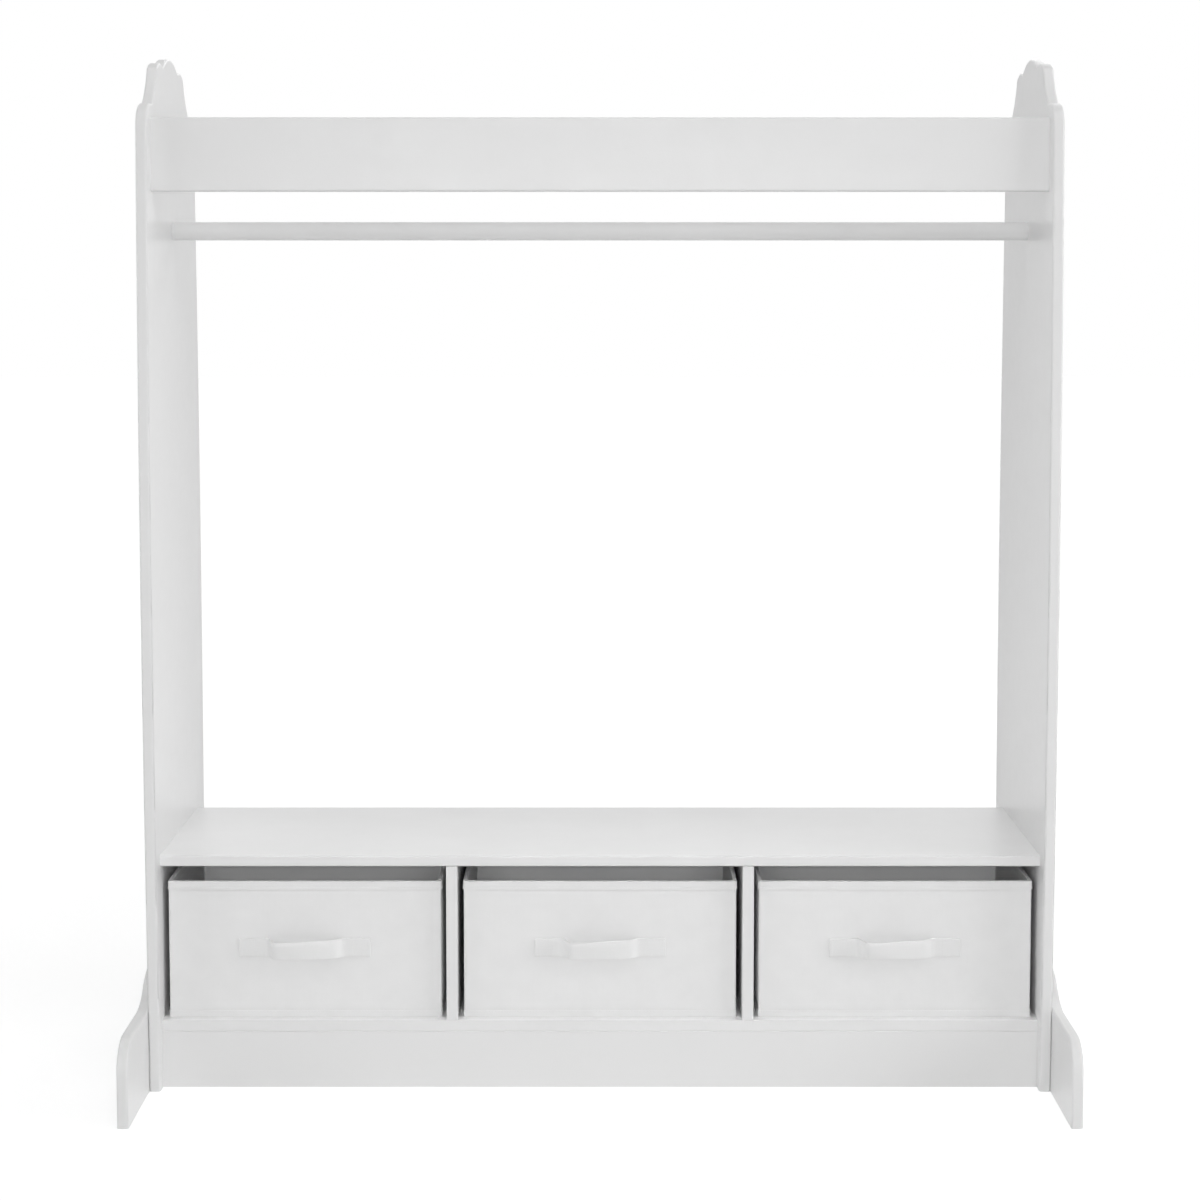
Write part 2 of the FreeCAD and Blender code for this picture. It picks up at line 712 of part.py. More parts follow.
def back_nails():
    shank = "nail_diameter / 2"
    nail = turned_body("nail", [
        ("0", "-nail_head_thickness"),
        ("nail_head_diameter / 2", "-nail_head_thickness"),
        ("nail_head_diameter / 2", "0"),
        (shank, "0"),
        (shank, "nail_length - nail_diameter"),
        ("0", "nail_length"),
    ])
    drill = turned_body("nail_drill", plain_pin(f"{shank} + fit", f"-{OVERCUT}", "nail_length + end_room"))
    y = f"{SHELF_BACK} + back_thickness"
    places = []
    for share in (-2, -1, 0, 1, 2):
        x = f"{share} * ({INNER} - nail_inset) / 2"
        for board, underside in (("bench_shelf", BENCH_UNDERSIDE), ("bottom_shelf", "plinth_height")):
            places.append(Place(x, y, f"{underside} + board / 2", FORWARD, ("cubby_back_panel", board)))
    for side, sign in SIDES.items():
        places.append(Place(f"{sign} * {CUBBY_PITCH} / 2", y, f"({CUBBY_FLOOR} + {BENCH_UNDERSIDE}) / 2",
                            FORWARD, ("cubby_back_panel", side + "_divider")))
    fastenings("back_panel_nails", nail, places, drill)


wood_dowels()
bolts_and_nuts()
wood_screws()
back_nails()
for node, blank in blanks.items():
    drilled(node, blank)


# Fabric bins: cover, stiffener boards, lining, base board, rim hem and handle strap

BIN_HALF = f"({CUBBY_WIDTH} / 2 - bin_side_gap)"
BIN_FRONT = f"({SHELF_FRONT} + bin_setback)"
BIN_BACK = f"({SHELF_BACK} - bin_rear_gap)"
BIN_BOTTOM = f"({CUBBY_FLOOR} + bin_floor_gap)"
BIN_TOP = f"({BENCH_UNDERSIDE} - bin_top_gap)"
# Depth of each layer's outer face below the rim's outer face
COVER_DEPTH = "hem_cloth"
CARD_DEPTH = f"({COVER_DEPTH} + cover_cloth + layer_gap)"
LINING_DEPTH = f"({CARD_DEPTH} + card + layer_gap)"
INSIDE_DEPTH = f"({LINING_DEPTH} + lining_cloth)"
WALL_TOP = f"({BIN_TOP} - hem_cloth - layer_gap)"


def bin_block(name, middle, depth, low, high):
    """A box inside the bin's outline, drawn in on its four sides by a depth."""
    return block(name, (f"{middle} - {BIN_HALF} + {depth}", f"{BIN_FRONT} + {depth}", low),
                 (f"{middle} + {BIN_HALF} - {depth}", f"{BIN_BACK} - {depth}", high))


def open_box(node, middle, depth, cloth, bottom):
    """A fabric box with no lid."""
    outside = bin_block(node + "_outside", middle, depth, bottom, WALL_TOP)
    inside = bin_block(node + "_inside", middle, f"({depth} + {cloth})", f"{bottom} + {cloth}",
                       f"{WALL_TOP} + {OVERCUT}")
    keep(cut_from(node, outside, inside), node)


def wall_boards(node, middle):
    """The front and back boards run through, and the end boards stand between them."""
    bottom = f"{BIN_BOTTOM} + cover_cloth"
    left = f"({middle} - {BIN_HALF} + {CARD_DEPTH})"
    right = f"({middle} + {BIN_HALF} - {CARD_DEPTH})"
    front = f"({BIN_FRONT} + {CARD_DEPTH})"
    back = f"({BIN_BACK} - {CARD_DEPTH})"
    group = doc.addObject("Part::Compound", node)
    group.Links = [
        block(node + "_front", (left, front, bottom), (right, f"{front} + card", WALL_TOP)),
        block(node + "_back", (left, f"{back} - card", bottom), (right, back, WALL_TOP)),
        block(node + "_left", (left, f"{front} + card + layer_gap", bottom),
              (f"{left} + card", f"{back} - card - layer_gap", WALL_TOP)),
        block(node + "_right", (f"{right} - card", f"{front} + card + layer_gap", bottom),
              (right, f"{back} - card - layer_gap", WALL_TOP)),
    ]
    keep(group, node)


def rim_hem(node, middle):
    """A binding folded over the top of the wall, from the cover's face to the lining's face."""
    bottom = f"{BIN_TOP} - hem_height"
    below = f"{bottom} - {OVERCUT}"
    above = f"{BIN_TOP} + {OVERCUT}"
    band = bin_block(node + "_band", middle, "0", bottom, BIN_TOP)
    mouth = bin_block(node + "_mouth", middle, f"({INSIDE_DEPTH} + hem_cloth)", below, above)
    wall_outside = bin_block(node + "_wall_outside", middle, COVER_DEPTH, below, f"{BIN_TOP} - hem_cloth")
    wall_inside = bin_block(node + "_wall_inside", middle, INSIDE_DEPTH, below, above)
    ring = cut_from(node + "_ring", band, mouth)
    keep(cut_from(node, ring, cut_from(node + "_wall", wall_outside, wall_inside)), node)


def strap_bend_at(reach, half_loop):
    """A test for the upright edges where the strap turns across the front."""
    def wanted(edge):
        middle = edge.CenterOfMass
        at_front = abs(middle.y + value(reach)) < SAME
        return runs_along(edge, UP) and at_front and abs(abs(middle.x) - value(half_loop)) < SAME
    return wanted


def handle_strap(node, middle):
    """A flat strap: a sewn tab at each end, and a raised loop between them for the fingers."""
    half = "strap_length / 2"
    outer_loop = "(strap_loop / 2)"
    inner_loop = "(strap_loop / 2 - strap_thickness)"
    inner_reach = "(strap_bow - strap_thickness)"
    right_half = [
        (outer_loop, "-strap_bow"),
        (outer_loop, "-strap_thickness"),
        (half, "-strap_thickness"),
        (half, "0"),
        (inner_loop, "0"),
        (inner_loop, f"-{inner_reach}"),
    ]
    body = padded_body(node, "XY_Plane", mirrored(right_half), "strap_width")
    locate(body, middle, f"{BIN_FRONT} + {COVER_DEPTH}", f"{BIN_TOP} - strap_drop - strap_width / 2")
    round_edges(body, "strap_bend", strap_bend_at("strap_bow", outer_loop))
    round_edges(body, "strap_bend - strap_thickness", strap_bend_at(inner_reach, inner_loop))
    keep(body, node)


def fabric_bin(name, middle):
    open_box(name + "_cover", middle, COVER_DEPTH, "cover_cloth", BIN_BOTTOM)
    wall_boards(name + "_wall_boards", middle)
    lining_bottom = f"({BIN_BOTTOM} + cover_cloth)"
    open_box(name + "_lining", middle, LINING_DEPTH, "lining_cloth", lining_bottom)
    base_bottom = f"({lining_bottom} + lining_cloth)"
    base_board = bin_block(name + "_base_board", middle, f"({INSIDE_DEPTH} + base_gap)",
                           base_bottom, f"{base_bottom} + base_card")
    keep(base_board, name + "_base_board")
    rim_hem(name + "_rim_hem", middle)
    handle_strap(name + "_handle", middle)


for place, step in BINS.items():
    fabric_bin(place + "_bin", f"({step} * {CUBBY_PITCH})")

doc.recompute()
faults = [thing.Label for thing in doc.Objects if {"Invalid", "Error"} & set(thing.State)]
faults += [node.Label for node in nodes if node.Shape.isNull() or not node.Shape.isValid()]
if faults:
    raise SystemExit("not sound: " + ", ".join(faults))
os.makedirs("parts", exist_ok=True)
for node in nodes:
    node.Shape.exportStep(f"parts/{node.Label}.step")
    print(node.Label, len(node.Shape.Solids), "solids", round(node.Shape.Volume / 1000, 2), "cm3")
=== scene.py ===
"""Looks of the children's clothing rack: painted boards, fabric bins, studio and camera."""
import math

import bmesh
import bpy
from mathutils import Matrix, Vector, noise


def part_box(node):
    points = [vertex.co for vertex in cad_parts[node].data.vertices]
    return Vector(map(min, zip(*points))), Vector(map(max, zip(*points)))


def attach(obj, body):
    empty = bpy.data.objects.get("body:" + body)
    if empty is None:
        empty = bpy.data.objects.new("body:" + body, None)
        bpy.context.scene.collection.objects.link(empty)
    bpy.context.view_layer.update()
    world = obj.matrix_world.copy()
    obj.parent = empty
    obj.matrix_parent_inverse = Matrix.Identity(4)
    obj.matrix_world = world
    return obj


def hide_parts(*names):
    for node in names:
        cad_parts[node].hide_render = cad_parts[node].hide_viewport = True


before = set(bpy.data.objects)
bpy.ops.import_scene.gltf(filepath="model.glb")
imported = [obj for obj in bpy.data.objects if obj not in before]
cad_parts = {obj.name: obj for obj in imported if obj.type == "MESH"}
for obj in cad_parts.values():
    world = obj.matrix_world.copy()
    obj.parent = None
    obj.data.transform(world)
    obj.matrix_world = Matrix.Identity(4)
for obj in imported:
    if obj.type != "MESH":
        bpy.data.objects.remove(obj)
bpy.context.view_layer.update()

MM = 0.001
X, Y, Z = range(3)
BINS = ("left", "middle", "right")

# Camera: square to the front, a little below the rod's height, tilted slightly down
CAMERA_PLACE = (0, -2.537, 0.851)
CAMERA_TILT = math.radians(4.4)
CAMERA_LENS = 69.1
CAMERA_SHIFT_Y = -0.11

# Studio light: an even white room, soft lamps at both sides, above and behind, and a strip behind the camera
ROOM_STRENGTH = 0.3
RACK_MIDDLE = (0, 0, 0.5)
BIN_FRONTS = (0, -0.12, 0.15)
LAMPS = {
    "key_lamp": {"place": (3, -1, 1.2), "size": (1.6, 1.6), "watts": 33, "aim": RACK_MIDDLE, "beam": 180},
    "fill_lamp": {"place": (-3, -1, 1.2), "size": (1.6, 1.6), "watts": 16, "aim": RACK_MIDDLE, "beam": 180},
    "strip_lamp": {"place": (0, -2.95, 0.96), "size": (1.6, 0.05), "watts": 3.1, "aim": BIN_FRONTS,
                   "beam": 70},
    "top_lamp": {"place": (0, -1.1, 2.7), "size": (2, 2), "watts": 16, "aim": RACK_MIDDLE, "beam": 180},
    "back_lamp": {"place": (0.8, 2.4, 2.6), "size": (2.4, 1.2), "watts": 20, "aim": RACK_MIDDLE, "beam": 180},
}

# Studio floor: the tone that it lights with, the depth of its shadow, and its glow far off and near the rack
FLOOR_SPAN = 40
FLOOR_TONE = 0.93
FLOOR_SHADOW_DEPTH = 0.6
FLOOR_GLOW = 0.83
FLOOR_GLOW_NEAR = 0.55
FLOOR_LIT_REACH = 6

# Colours, as linear red, green and blue
WHITE = (1, 1, 1)
BOARD_WHITE = (0.81, 0.81, 0.81)
BOARD_SHADE = (0.79, 0.79, 0.79)
# The bench's white is painted light: the bench and bottom shelf take a whiter copy of the board paint, so
# their faces read as lit from above and in front
BENCH_WHITE_PAINTED_LIGHT = (0.9, 0.9, 0.9)
HARDBOARD_SHADE = (0.76, 0.76, 0.75)
ROD_WHITE = (0.84, 0.84, 0.84)
ROD_SHADE = (0.81, 0.81, 0.81)
CAP_WHITE = (0.78, 0.78, 0.78)
CAP_PALE = (0.8, 0.8, 0.8)
CAP_SHADE = (0.76, 0.76, 0.76)
CLOTH_WHITE = (0.86, 0.86, 0.86)
CLOTH_SHADE = (0.84, 0.84, 0.84)
# The lining's whites are painted light: a whiter copy of the bin cloth, so the shaded inside of each bin and
# its base read brighter
LINING_WHITE_PAINTED_LIGHT = (0.93, 0.93, 0.93)
LINING_SHADE_PAINTED_LIGHT = (0.91, 0.91, 0.91)
THREAD_WHITE = (0.84, 0.84, 0.84)
THREAD_PALE = (0.86, 0.86, 0.86)
THREAD_SHADE = (0.76, 0.76, 0.76)
BEECH = (0.55, 0.36, 0.2)
BEECH_PALE = (0.6, 0.41, 0.24)
BEECH_DARK = (0.42, 0.26, 0.13)
ZINC = (0.62, 0.63, 0.64)
ZINC_BRIGHT = (0.68, 0.69, 0.7)
ZINC_DULL = (0.52, 0.53, 0.54)
CARD_GREY = (0.27, 0.25, 0.22)
CARD_PALE = (0.34, 0.32, 0.29)
CARD_DARK = (0.2, 0.18, 0.16)

# Measures of the textures: where most of a noise lies, and the length of a stripe at a scale of 1
NOISE_RANGE = (0.3, 0.7)
FULL_RANGE = (0, 1)
STRIPE = math.pi / 10

# How far sawn edges are rougher than a board's faces
EDGE_DULLNESS = 0.08

# Tests of shape: how much of a normal or an edge lies along an axis, and the folds that are shaded smoothly
FACES_AXIS = 0.9
RUNS_ALONG_AXIS = 0.99
UPRIGHT_BELOW = 0.5
TURNS_OVER = 0.5
SMOOTH_BELOW = math.radians(50)


# Finishes

def new_finish(name, colour, roughness, **sockets):
    """A material whose even values sit on the shader's own sockets."""
    finish = bpy.data.materials.new(name)
    finish.use_nodes = True
    shader = finish.node_tree.nodes["Principled BSDF"]
    shader.inputs["Base Color"].default_value = (*colour, 1)
    shader.inputs["Roughness"].default_value = roughness
    for socket, amount in sockets.items():
        shader.inputs[socket.replace("_", " ")].default_value = amount
    return finish, shader


def add_node(finish, kind, **values):
    """A node of a finish, with its settings and the even values of its sockets."""
    node = finish.node_tree.nodes.new("ShaderNode" + kind)
    for name, amount in values.items():
        if name in node.inputs:
            node.inputs[name].default_value = amount
        else:
            setattr(node, name, amount)
    return node


def link(finish, source, target):
    finish.node_tree.links.new(source, target)


def place_of(finish, stretch=(1, 1, 1), output="Object"):
    """Coordinates on a piece, stretched along its axes."""
    mapping = add_node(finish, "Mapping", Scale=stretch)
    link(finish, add_node(finish, "TexCoord").outputs[output], mapping.inputs["Vector"])
    return mapping.outputs["Vector"]


def speckle(finish, per_metre, detail, stretch=(1, 1, 1), output="Object"):
    """Soft random mottling, with so many spots to the metre."""
    texture = add_node(finish, "TexNoise", Scale=per_metre, Detail=detail)
    link(finish, place_of(finish, stretch, output), texture.inputs["Vector"])
    return texture.outputs["Fac"]


def bands(finish, pitch, direction, output):
    """Soft stripes a pitch apart."""
    texture = add_node(finish, "TexWave", bands_direction=direction, Scale=STRIPE / pitch)
    link(finish, place_of(finish, output=output), texture.inputs["Vector"])
    return texture.outputs["Fac"]


def spread(finish, source, low, high, within=NOISE_RANGE):
    """What an output gives within a range, turned into another range of values."""
    node = add_node(finish, "MapRange")
    for socket, amount in zip(node.inputs[1:5], (*within, low, high)):
        socket.default_value = amount
    link(finish, source, node.inputs["Value"])
    return node.outputs["Result"]


def calculate(finish, operation, first, second):
    """One step of arithmetic on two outputs, or on an output and a number."""
    node = add_node(finish, "Math", operation=operation)
    for socket, source in zip(node.inputs, (first, second)):
        if isinstance(source, (int, float)):
            socket.default_value = source
        else:
            link(finish, source, socket)
    return node.outputs["Value"]


def crossed_fibres(finish, per_metre, stretch):
    """Fibres along and across a cloth, on its UV map."""
    along = speckle(finish, per_metre, detail=3, stretch=(stretch, 1, 1), output="UV")
    across = speckle(finish, per_metre, detail=3, stretch=(1, stretch, 1), output="UV")
    return calculate(finish, "ADD", along, across)


def between(finish, share, first, second):
    """A share of the way from one output to another."""
    node = add_node(finish, "Mix")
    link(finish, share, node.inputs[0])
    link(finish, first, node.inputs[2])
    link(finish, second, node.inputs[3])
    return node.outputs[0]


def tint(finish, shader, share, shade, bright):
    """The base colour, a share of the way from one colour to another."""
    node = add_node(finish, "MixRGB", Color1=(*shade, 1), Color2=(*bright, 1))
    link(finish, share, node.inputs["Fac"])
    link(finish, node.outputs["Color"], shader.inputs["Base Color"])


def mottle(finish, shader, source, shade, bright):
    """The base colour mottled between two colours."""
    tint(finish, shader, spread(finish, source, 0, 1), shade, bright)


def roughen(finish, shader, source, low, high):
    """The roughness mottled between two values."""
    link(finish, spread(finish, source, low, high), shader.inputs["Roughness"])


def relief(finish, shader, height, depth):
    """Surface relief of a real depth, in metres, on top of any that is there."""
    node = add_node(finish, "Bump", Strength=1, Distance=depth)
    link(finish, height, node.inputs["Height"])
    if shader.inputs["Normal"].is_linked:
        link(finish, shader.inputs["Normal"].links[0].from_socket, node.inputs["Normal"])
    link(finish, node.outputs["Normal"], shader.inputs["Normal"])


def normal_along(finish, axis):
    """How much of a surface's normal lies along an axis."""
    split = add_node(finish, "SeparateXYZ")
    link(finish, add_node(finish, "TexCoord").outputs["Normal"], split.inputs["Vector"])
    return split.outputs[axis]


def facing(finish, axis):
    """1 on a board's two faces and 0 on its sawn edges, for a board that is thin along an axis."""
    either_way = calculate(finish, "ABSOLUTE", normal_along(finish, axis), 0)
    return calculate(finish, "GREATER_THAN", either_way, FACES_AXIS)


def satin_board_paint(axis, face_white_and_painted_light=BOARD_WHITE):
    """Sprayed satin white on fibreboard: a fine orange peel on the faces, coarser and duller on the edges."""
    finish, shader = new_finish(f"satin_white_board_{axis.lower()}", BOARD_WHITE, roughness=0.32)
    face = facing(finish, axis)
    peel = speckle(finish, per_metre=650, detail=2)
    fibres = speckle(finish, per_metre=380, detail=6)
    clouds = speckle(finish, per_metre=9, detail=3)
    edge_share = spread(finish, clouds, low=0, high=0.3)
    face_share = spread(finish, clouds, low=0.7, high=1)
    # Faces take the face white: on the bench and bottom shelf that is painted light, a whiter copy of the
    # same paint
    tint(finish, shader, between(finish, face, edge_share, face_share), BOARD_SHADE, face_white_and_painted_light)
    sheen = spread(finish, speckle(finish, per_metre=60, detail=3), low=0.28, high=0.36)
    edge_sheen = calculate(finish, "ADD", sheen, EDGE_DULLNESS)
    link(finish, between(finish, face, edge_sheen, sheen), shader.inputs["Roughness"])
    relief(finish, shader, between(finish, face, fibres, peel), depth=0.05 * MM)
    return finish


def matte_rod_paint():
    """A flatter paint over a turned rod, whose grain shows faintly along it."""
    finish, shader = new_finish("matte_white_rod", ROD_WHITE, roughness=0.65)
    grain = speckle(finish, per_metre=420, detail=5, stretch=(0.03, 1, 1))
    mottle(finish, shader, speckle(finish, per_metre=14, detail=3), ROD_SHADE, ROD_WHITE)
    roughen(finish, shader, grain, low=0.6, high=0.72)
    relief(finish, shader, grain, depth=0.06 * MM)
    return finish


def hardboard_paint():
    """Thin white hardboard: smooth in front, with the press screen's cross-hatch on its back."""
    finish, shader = new_finish("white_hardboard", BOARD_WHITE, roughness=0.55)
    pitch = 1.6 * MM
    screen = calculate(finish, "MULTIPLY", bands(finish, pitch, "X", "Object"),
                       bands(finish, pitch, "Z", "Object"))
    back = calculate(finish, "GREATER_THAN", normal_along(finish, "Y"), FACES_AXIS)
    mottle(finish, shader, speckle(finish, per_metre=25, detail=5), HARDBOARD_SHADE, BOARD_WHITE)
    roughen(finish, shader, speckle(finish, per_metre=90, detail=3), low=0.5, high=0.65)
    relief(finish, shader, calculate(finish, "MULTIPLY", screen, back), depth=0.12 * MM)
    relief(finish, shader, speckle(finish, per_metre=700, detail=3), depth=0.04 * MM)
    return finish


def bare_beech():
    """Turned beech with short dark flecks along its grain."""
    finish, shader = new_finish("bare_beech", BEECH, roughness=0.6)
    grain = speckle(finish, per_metre=260, detail=6, stretch=(0.2, 1, 1))
    mottle(finish, shader, grain, BEECH_DARK, BEECH_PALE)
    roughen(finish, shader, grain, low=0.5, high=0.7)
    relief(finish, shader, grain, depth=0.08 * MM)
    return finish


def zinc_plate():
    """Bright zinc plating with fine turning marks and dull patches."""
    finish, shader = new_finish("zinc_plated_steel", ZINC, roughness=0.35, Metallic=1.0)
    patches = speckle(finish, per_metre=500, detail=4)
    mottle(finish, shader, patches, ZINC_DULL, ZINC_BRIGHT)
    roughen(finish, shader, patches, low=0.26, high=0.46)
    relief(finish, shader, speckle(finish, per_metre=2400, detail=2), depth=0.02 * MM)
    return finish


def cap_plastic():
    """Moulded white plastic with a fine spark texture."""
    finish, shader = new_finish("matte_white_cap", CAP_WHITE, roughness=0.5)
    mottle(finish, shader, speckle(finish, per_metre=60, detail=2), CAP_SHADE, CAP_PALE)
    roughen(finish, shader, speckle(finish, per_metre=300, detail=2), low=0.46, high=0.56)
    relief(finish, shader, speckle(finish, per_metre=1800, detail=2), depth=0.03 * MM)
    return finish


def grey_board():
    """Pressed paper board with pale and dark fibres."""
    finish, shader = new_finish("pressed_grey_board", CARD_GREY, roughness=0.85)
    fibres = speckle(finish, per_metre=900, detail=5, stretch=(0.3, 0.3, 1))
    mottle(finish, shader, fibres, CARD_DARK, CARD_PALE)
    roughen(finish, shader, fibres, low=0.8, high=0.95)
    relief(finish, shader, fibres, depth=0.1 * MM)
    return finish


def bonded_cloth(name, bright, shade):
    """White cloth of bonded fibres, pressed with a close grid of points, on a UV map that is in metres."""
    finish, shader = new_finish(name, bright, roughness=0.9, Sheen_Weight=0.15, Sheen_Roughness=0.4)
    pitch = 1.3 * MM
    point_sharpness = 3
    fibre_share = 0.4
    points = calculate(finish, "MULTIPLY", bands(finish, pitch, "X", "UV"), bands(finish, pitch, "Y", "UV"))
    pressed = calculate(finish, "POWER", points, point_sharpness)
    fibres = crossed_fibres(finish, per_metre=1600, stretch=0.12)
    mottle(finish, shader, speckle(finish, per_metre=45, detail=4, output="UV"), shade, bright)
    roughen(finish, shader, speckle(finish, per_metre=400, detail=3, output="UV"), low=0.82, high=0.96)
    height = calculate(finish, "SUBTRACT", calculate(finish, "MULTIPLY", fibres, fibre_share), pressed)
    relief(finish, shader, height, depth=0.05 * MM)
    return finish


def woven_webbing():
    """Close-woven cotton strap on a UV map that is in metres, with thicker and thinner threads."""
    finish, shader = new_finish("white_strap_webbing", CLOTH_WHITE, roughness=0.9, Sheen_Weight=0.15)
    pitch = 1.0 * MM
    half_way = 0.5
    weave_share = 2
    warp = calculate(finish, "SUBTRACT", bands(finish, pitch, "X", "UV"), half_way)
    weft = calculate(finish, "SUBTRACT", bands(finish, pitch, "Y", "UV"), half_way)
    weave = calculate(finish, "MULTIPLY", warp, weft)
    slubs = crossed_fibres(finish, per_metre=700, stretch=0.06)
    mottle(finish, shader, calculate(finish, "MULTIPLY", slubs, half_way), CLOTH_SHADE, CLOTH_WHITE)
    roughen(finish, shader, speckle(finish, per_metre=400, detail=3, output="UV"), low=0.82, high=0.96)
    height = calculate(finish, "ADD", calculate(finish, "MULTIPLY", weave, weave_share), slubs)
    relief(finish, shader, height, depth=0.09 * MM)
    return finish


def sewing_thread():
    """Twisted white polyester thread."""
    finish, shader = new_finish("white_sewing_thread", THREAD_WHITE, roughness=0.55, Sheen_Weight=0.2)
    twist = speckle(finish, per_metre=2600, detail=2, stretch=(1, 0.4, 1))
    mottle(finish, shader, twist, THREAD_SHADE, THREAD_PALE)
    roughen(finish, shader, twist, low=0.48, high=0.66)
    relief(finish, shader, twist, depth=0.06 * MM)
    return finish


def give_finish(piece, finish):
    """Make a finish the only one on a piece."""
    piece.data.materials.clear()
    piece.data.materials.append(finish)


def paint_cad_nodes():
    """Give every CAD piece its finish."""
    board_x = satin_board_paint("X")
    board_y = satin_board_paint("Y")
    # The bench and bottom shelf get painted light: their faces are whiter than the other boards', though the
    # paint is the same
    board_z_with_painted_light = satin_board_paint("Z", BENCH_WHITE_PAINTED_LIGHT)
    zinc = zinc_plate()
    finishes = {
        "top_rail": board_y,
        "toe_kick_board": board_y,
        "bench_shelf": board_z_with_painted_light,
        "bottom_shelf": board_z_with_painted_light,
        "hanging_rod": matte_rod_paint(),
        "cubby_back_panel": hardboard_paint(),
        "wood_dowels": bare_beech(),
        "panel_bolts": zinc,
        "foot_bolts": zinc,
        "barrel_nuts": zinc,
        "bolt_caps": cap_plastic(),
        "rod_screws": zinc,
        "divider_screws": zinc,
        "foot_screws": zinc,
        "back_panel_nails": zinc,
    }
    for side in ("left", "right"):
        for board in ("side_panel", "foot_board", "divider"):
            finishes[f"{side}_{board}"] = board_x
    for node, finish in finishes.items():
        give_finish(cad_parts[node], finish)


# Modelling by hand

def settle():
    """Take a new piece's place, turn and size into its mesh."""
    bpy.ops.object.transform_apply(location=True, rotation=True, scale=True)


def start_box(name, low, high):
    """A box between two corners, as the start of a piece."""
    low = Vector(low)
    high = Vector(high)
    bpy.ops.object.select_all(action="DESELECT")
    bpy.ops.mesh.primitive_cube_add(size=1, location=(low + high) / 2)
    piece = bpy.context.object
    piece.name = name
    piece.scale = high - low
    settle()
    return piece


def choose(*pieces):
    """Select these pieces alone, the first of them active."""
    bpy.ops.object.select_all(action="DESELECT")
    for piece in pieces:
        piece.select_set(True)
    bpy.context.view_layer.objects.active = pieces[0]


def open_up(piece):
    """Open a piece for editing, with nothing selected."""
    choose(piece)
    bpy.ops.object.mode_set(mode="EDIT")
    bpy.ops.mesh.select_all(action="DESELECT")


def close_up():
    bpy.ops.object.mode_set(mode="OBJECT")


def pick(piece, kind, wanted):
    """Select the faces or edges of an open piece that a test picks out."""
    bpy.ops.mesh.select_mode(type="FACE" if kind == "faces" else "EDGE")
    bpy.ops.mesh.select_all(action="DESELECT")
    shape = bmesh.from_edit_mesh(piece.data)
    shape.normal_update()
    for element in getattr(shape, kind):
        if wanted(element):
            element.select_set(True)
    shape.select_flush_mode()
    bmesh.update_edit_mesh(piece.data)


def round_off(radius, steps):
    """Round the selected edges of an open piece."""
    bpy.ops.mesh.bevel(offset=radius, segments=steps, affect="EDGES")


def runs_along(edge, axis):
    """True for an edge along one of the axes."""
    run = edge.verts[1].co - edge.verts[0].co
    return abs(run.normalized()[axis]) > RUNS_ALONG_AXIS


def is_upright(face):
    return abs(face.normal.z) < UPRIGHT_BELOW


def middle_of(edge):
    return (edge.verts[0].co + edge.verts[1].co) / 2


def slice_through(piece, places, axis):
    """Cut a piece all the way through at places along an axis."""
    open_up(piece)
    direction = Vector((0, 0, 0))
    direction[axis] = 1
    for place in places:
        bpy.ops.mesh.select_all(action="SELECT")
        bpy.ops.mesh.bisect(plane_co=direction * place, plane_no=direction)
    close_up()


def steps_between(low, high, step):
    """Even places between two ends, about a step apart, without the ends."""
    count = max(1, round((high - low) / step))
    return [low + (high - low) * index / count for index in range(1, count)]


def slice_walls(piece, low, high, corner, cell):
    """Cut a box into even cells across and along, leaving its corners whole."""
    for axis in (X, Y):
        slice_through(piece, steps_between(low[axis] + corner, high[axis] - corner, cell), axis)


def apply(piece, kind, **settings):
    """Add a modifier to a piece and apply it."""
    choose(piece)
    modifier = piece.modifiers.new(kind.lower(), kind)
    for name, amount in settings.items():
        setattr(modifier, name, amount)
    bpy.ops.object.modifier_apply(modifier=modifier.name)


def lay_out_cloth(piece):
    """A UV map in metres, taken straight on to each wall, for the weave."""
    open_up(piece)
    bpy.ops.mesh.select_all(action="SELECT")
    bpy.ops.uv.cube_project(cube_size=1, correct_aspect=False)
    close_up()


def smooth(piece):
    """Shade a piece smoothly, apart from its sharp folds."""
    choose(piece)
    bpy.ops.object.shade_smooth_by_angle(angle=SMOOTH_BELOW)


def move_points(piece, rule):
    """Move each point of a piece by what a rule gives for its place."""
    for point in piece.data.vertices:
        point.co += rule(point.co)
    piece.data.update()


def shift_mesh(piece, shift):
    """Move a piece's whole mesh, with the piece itself left at the origin."""
    piece.data.transform(Matrix.Translation(shift))


# Fabric bins, modelled once at the middle bin's place and copied to the others

CLOTH_CELL = 3.2 * MM
SEAM_CELL = CLOTH_CELL / 3
WIDE_CELL = 8 * MM
STRAP_CELL = 2 * MM
COVER_CORNER = 1.8 * MM
COVER_FOOT = 0.35 * MM
COVER_CLOTH = 0.45 * MM
SHELF_CLEARANCE = 0.05 * MM
FOOT_BAND = 7.2 * MM
FOOT_BAND_STEP = 0.55 * MM
HEM_CLOTH = 0.5 * MM
HEM_WALL = 4.2 * MM
HEM_ROUND = 0.8 * MM
LINING_CORNER = 1.5 * MM
LINING_CLOTH = 0.5 * MM
CARD = 1.6 * MM
CARD_CORNER = 1.8 * MM
CARD_EDGE = 0.4 * MM
BASE_EDGE = 1.1 * MM
STRAP_CLOTH = 1.8 * MM
STRAP_EDGE = 0.85 * MM
STITCH = {"pitch": 3.4 * MM, "length": 2.6 * MM, "thread": 0.5 * MM, "slimming": 0.7}
STITCH_SINK = 0.05 * MM
HEM_SEAM = 2.2 * MM
FOOT_SEAM = 1.8 * MM
TAB_SEAM = 2.4 * MM
TAB_LENGTH = 22 * MM
TAB_CORNER = 1 * MM
SAME_HEIGHT = 0.1 * MM

# Steps of a rounding, and sides of a thread
CORNER_STEPS = 5
ROUND_STEPS = 4
FOOT_STEPS = 3
CARD_STEPS = 2
SEAM_STEPS = 6
THREAD_SIDES = 6

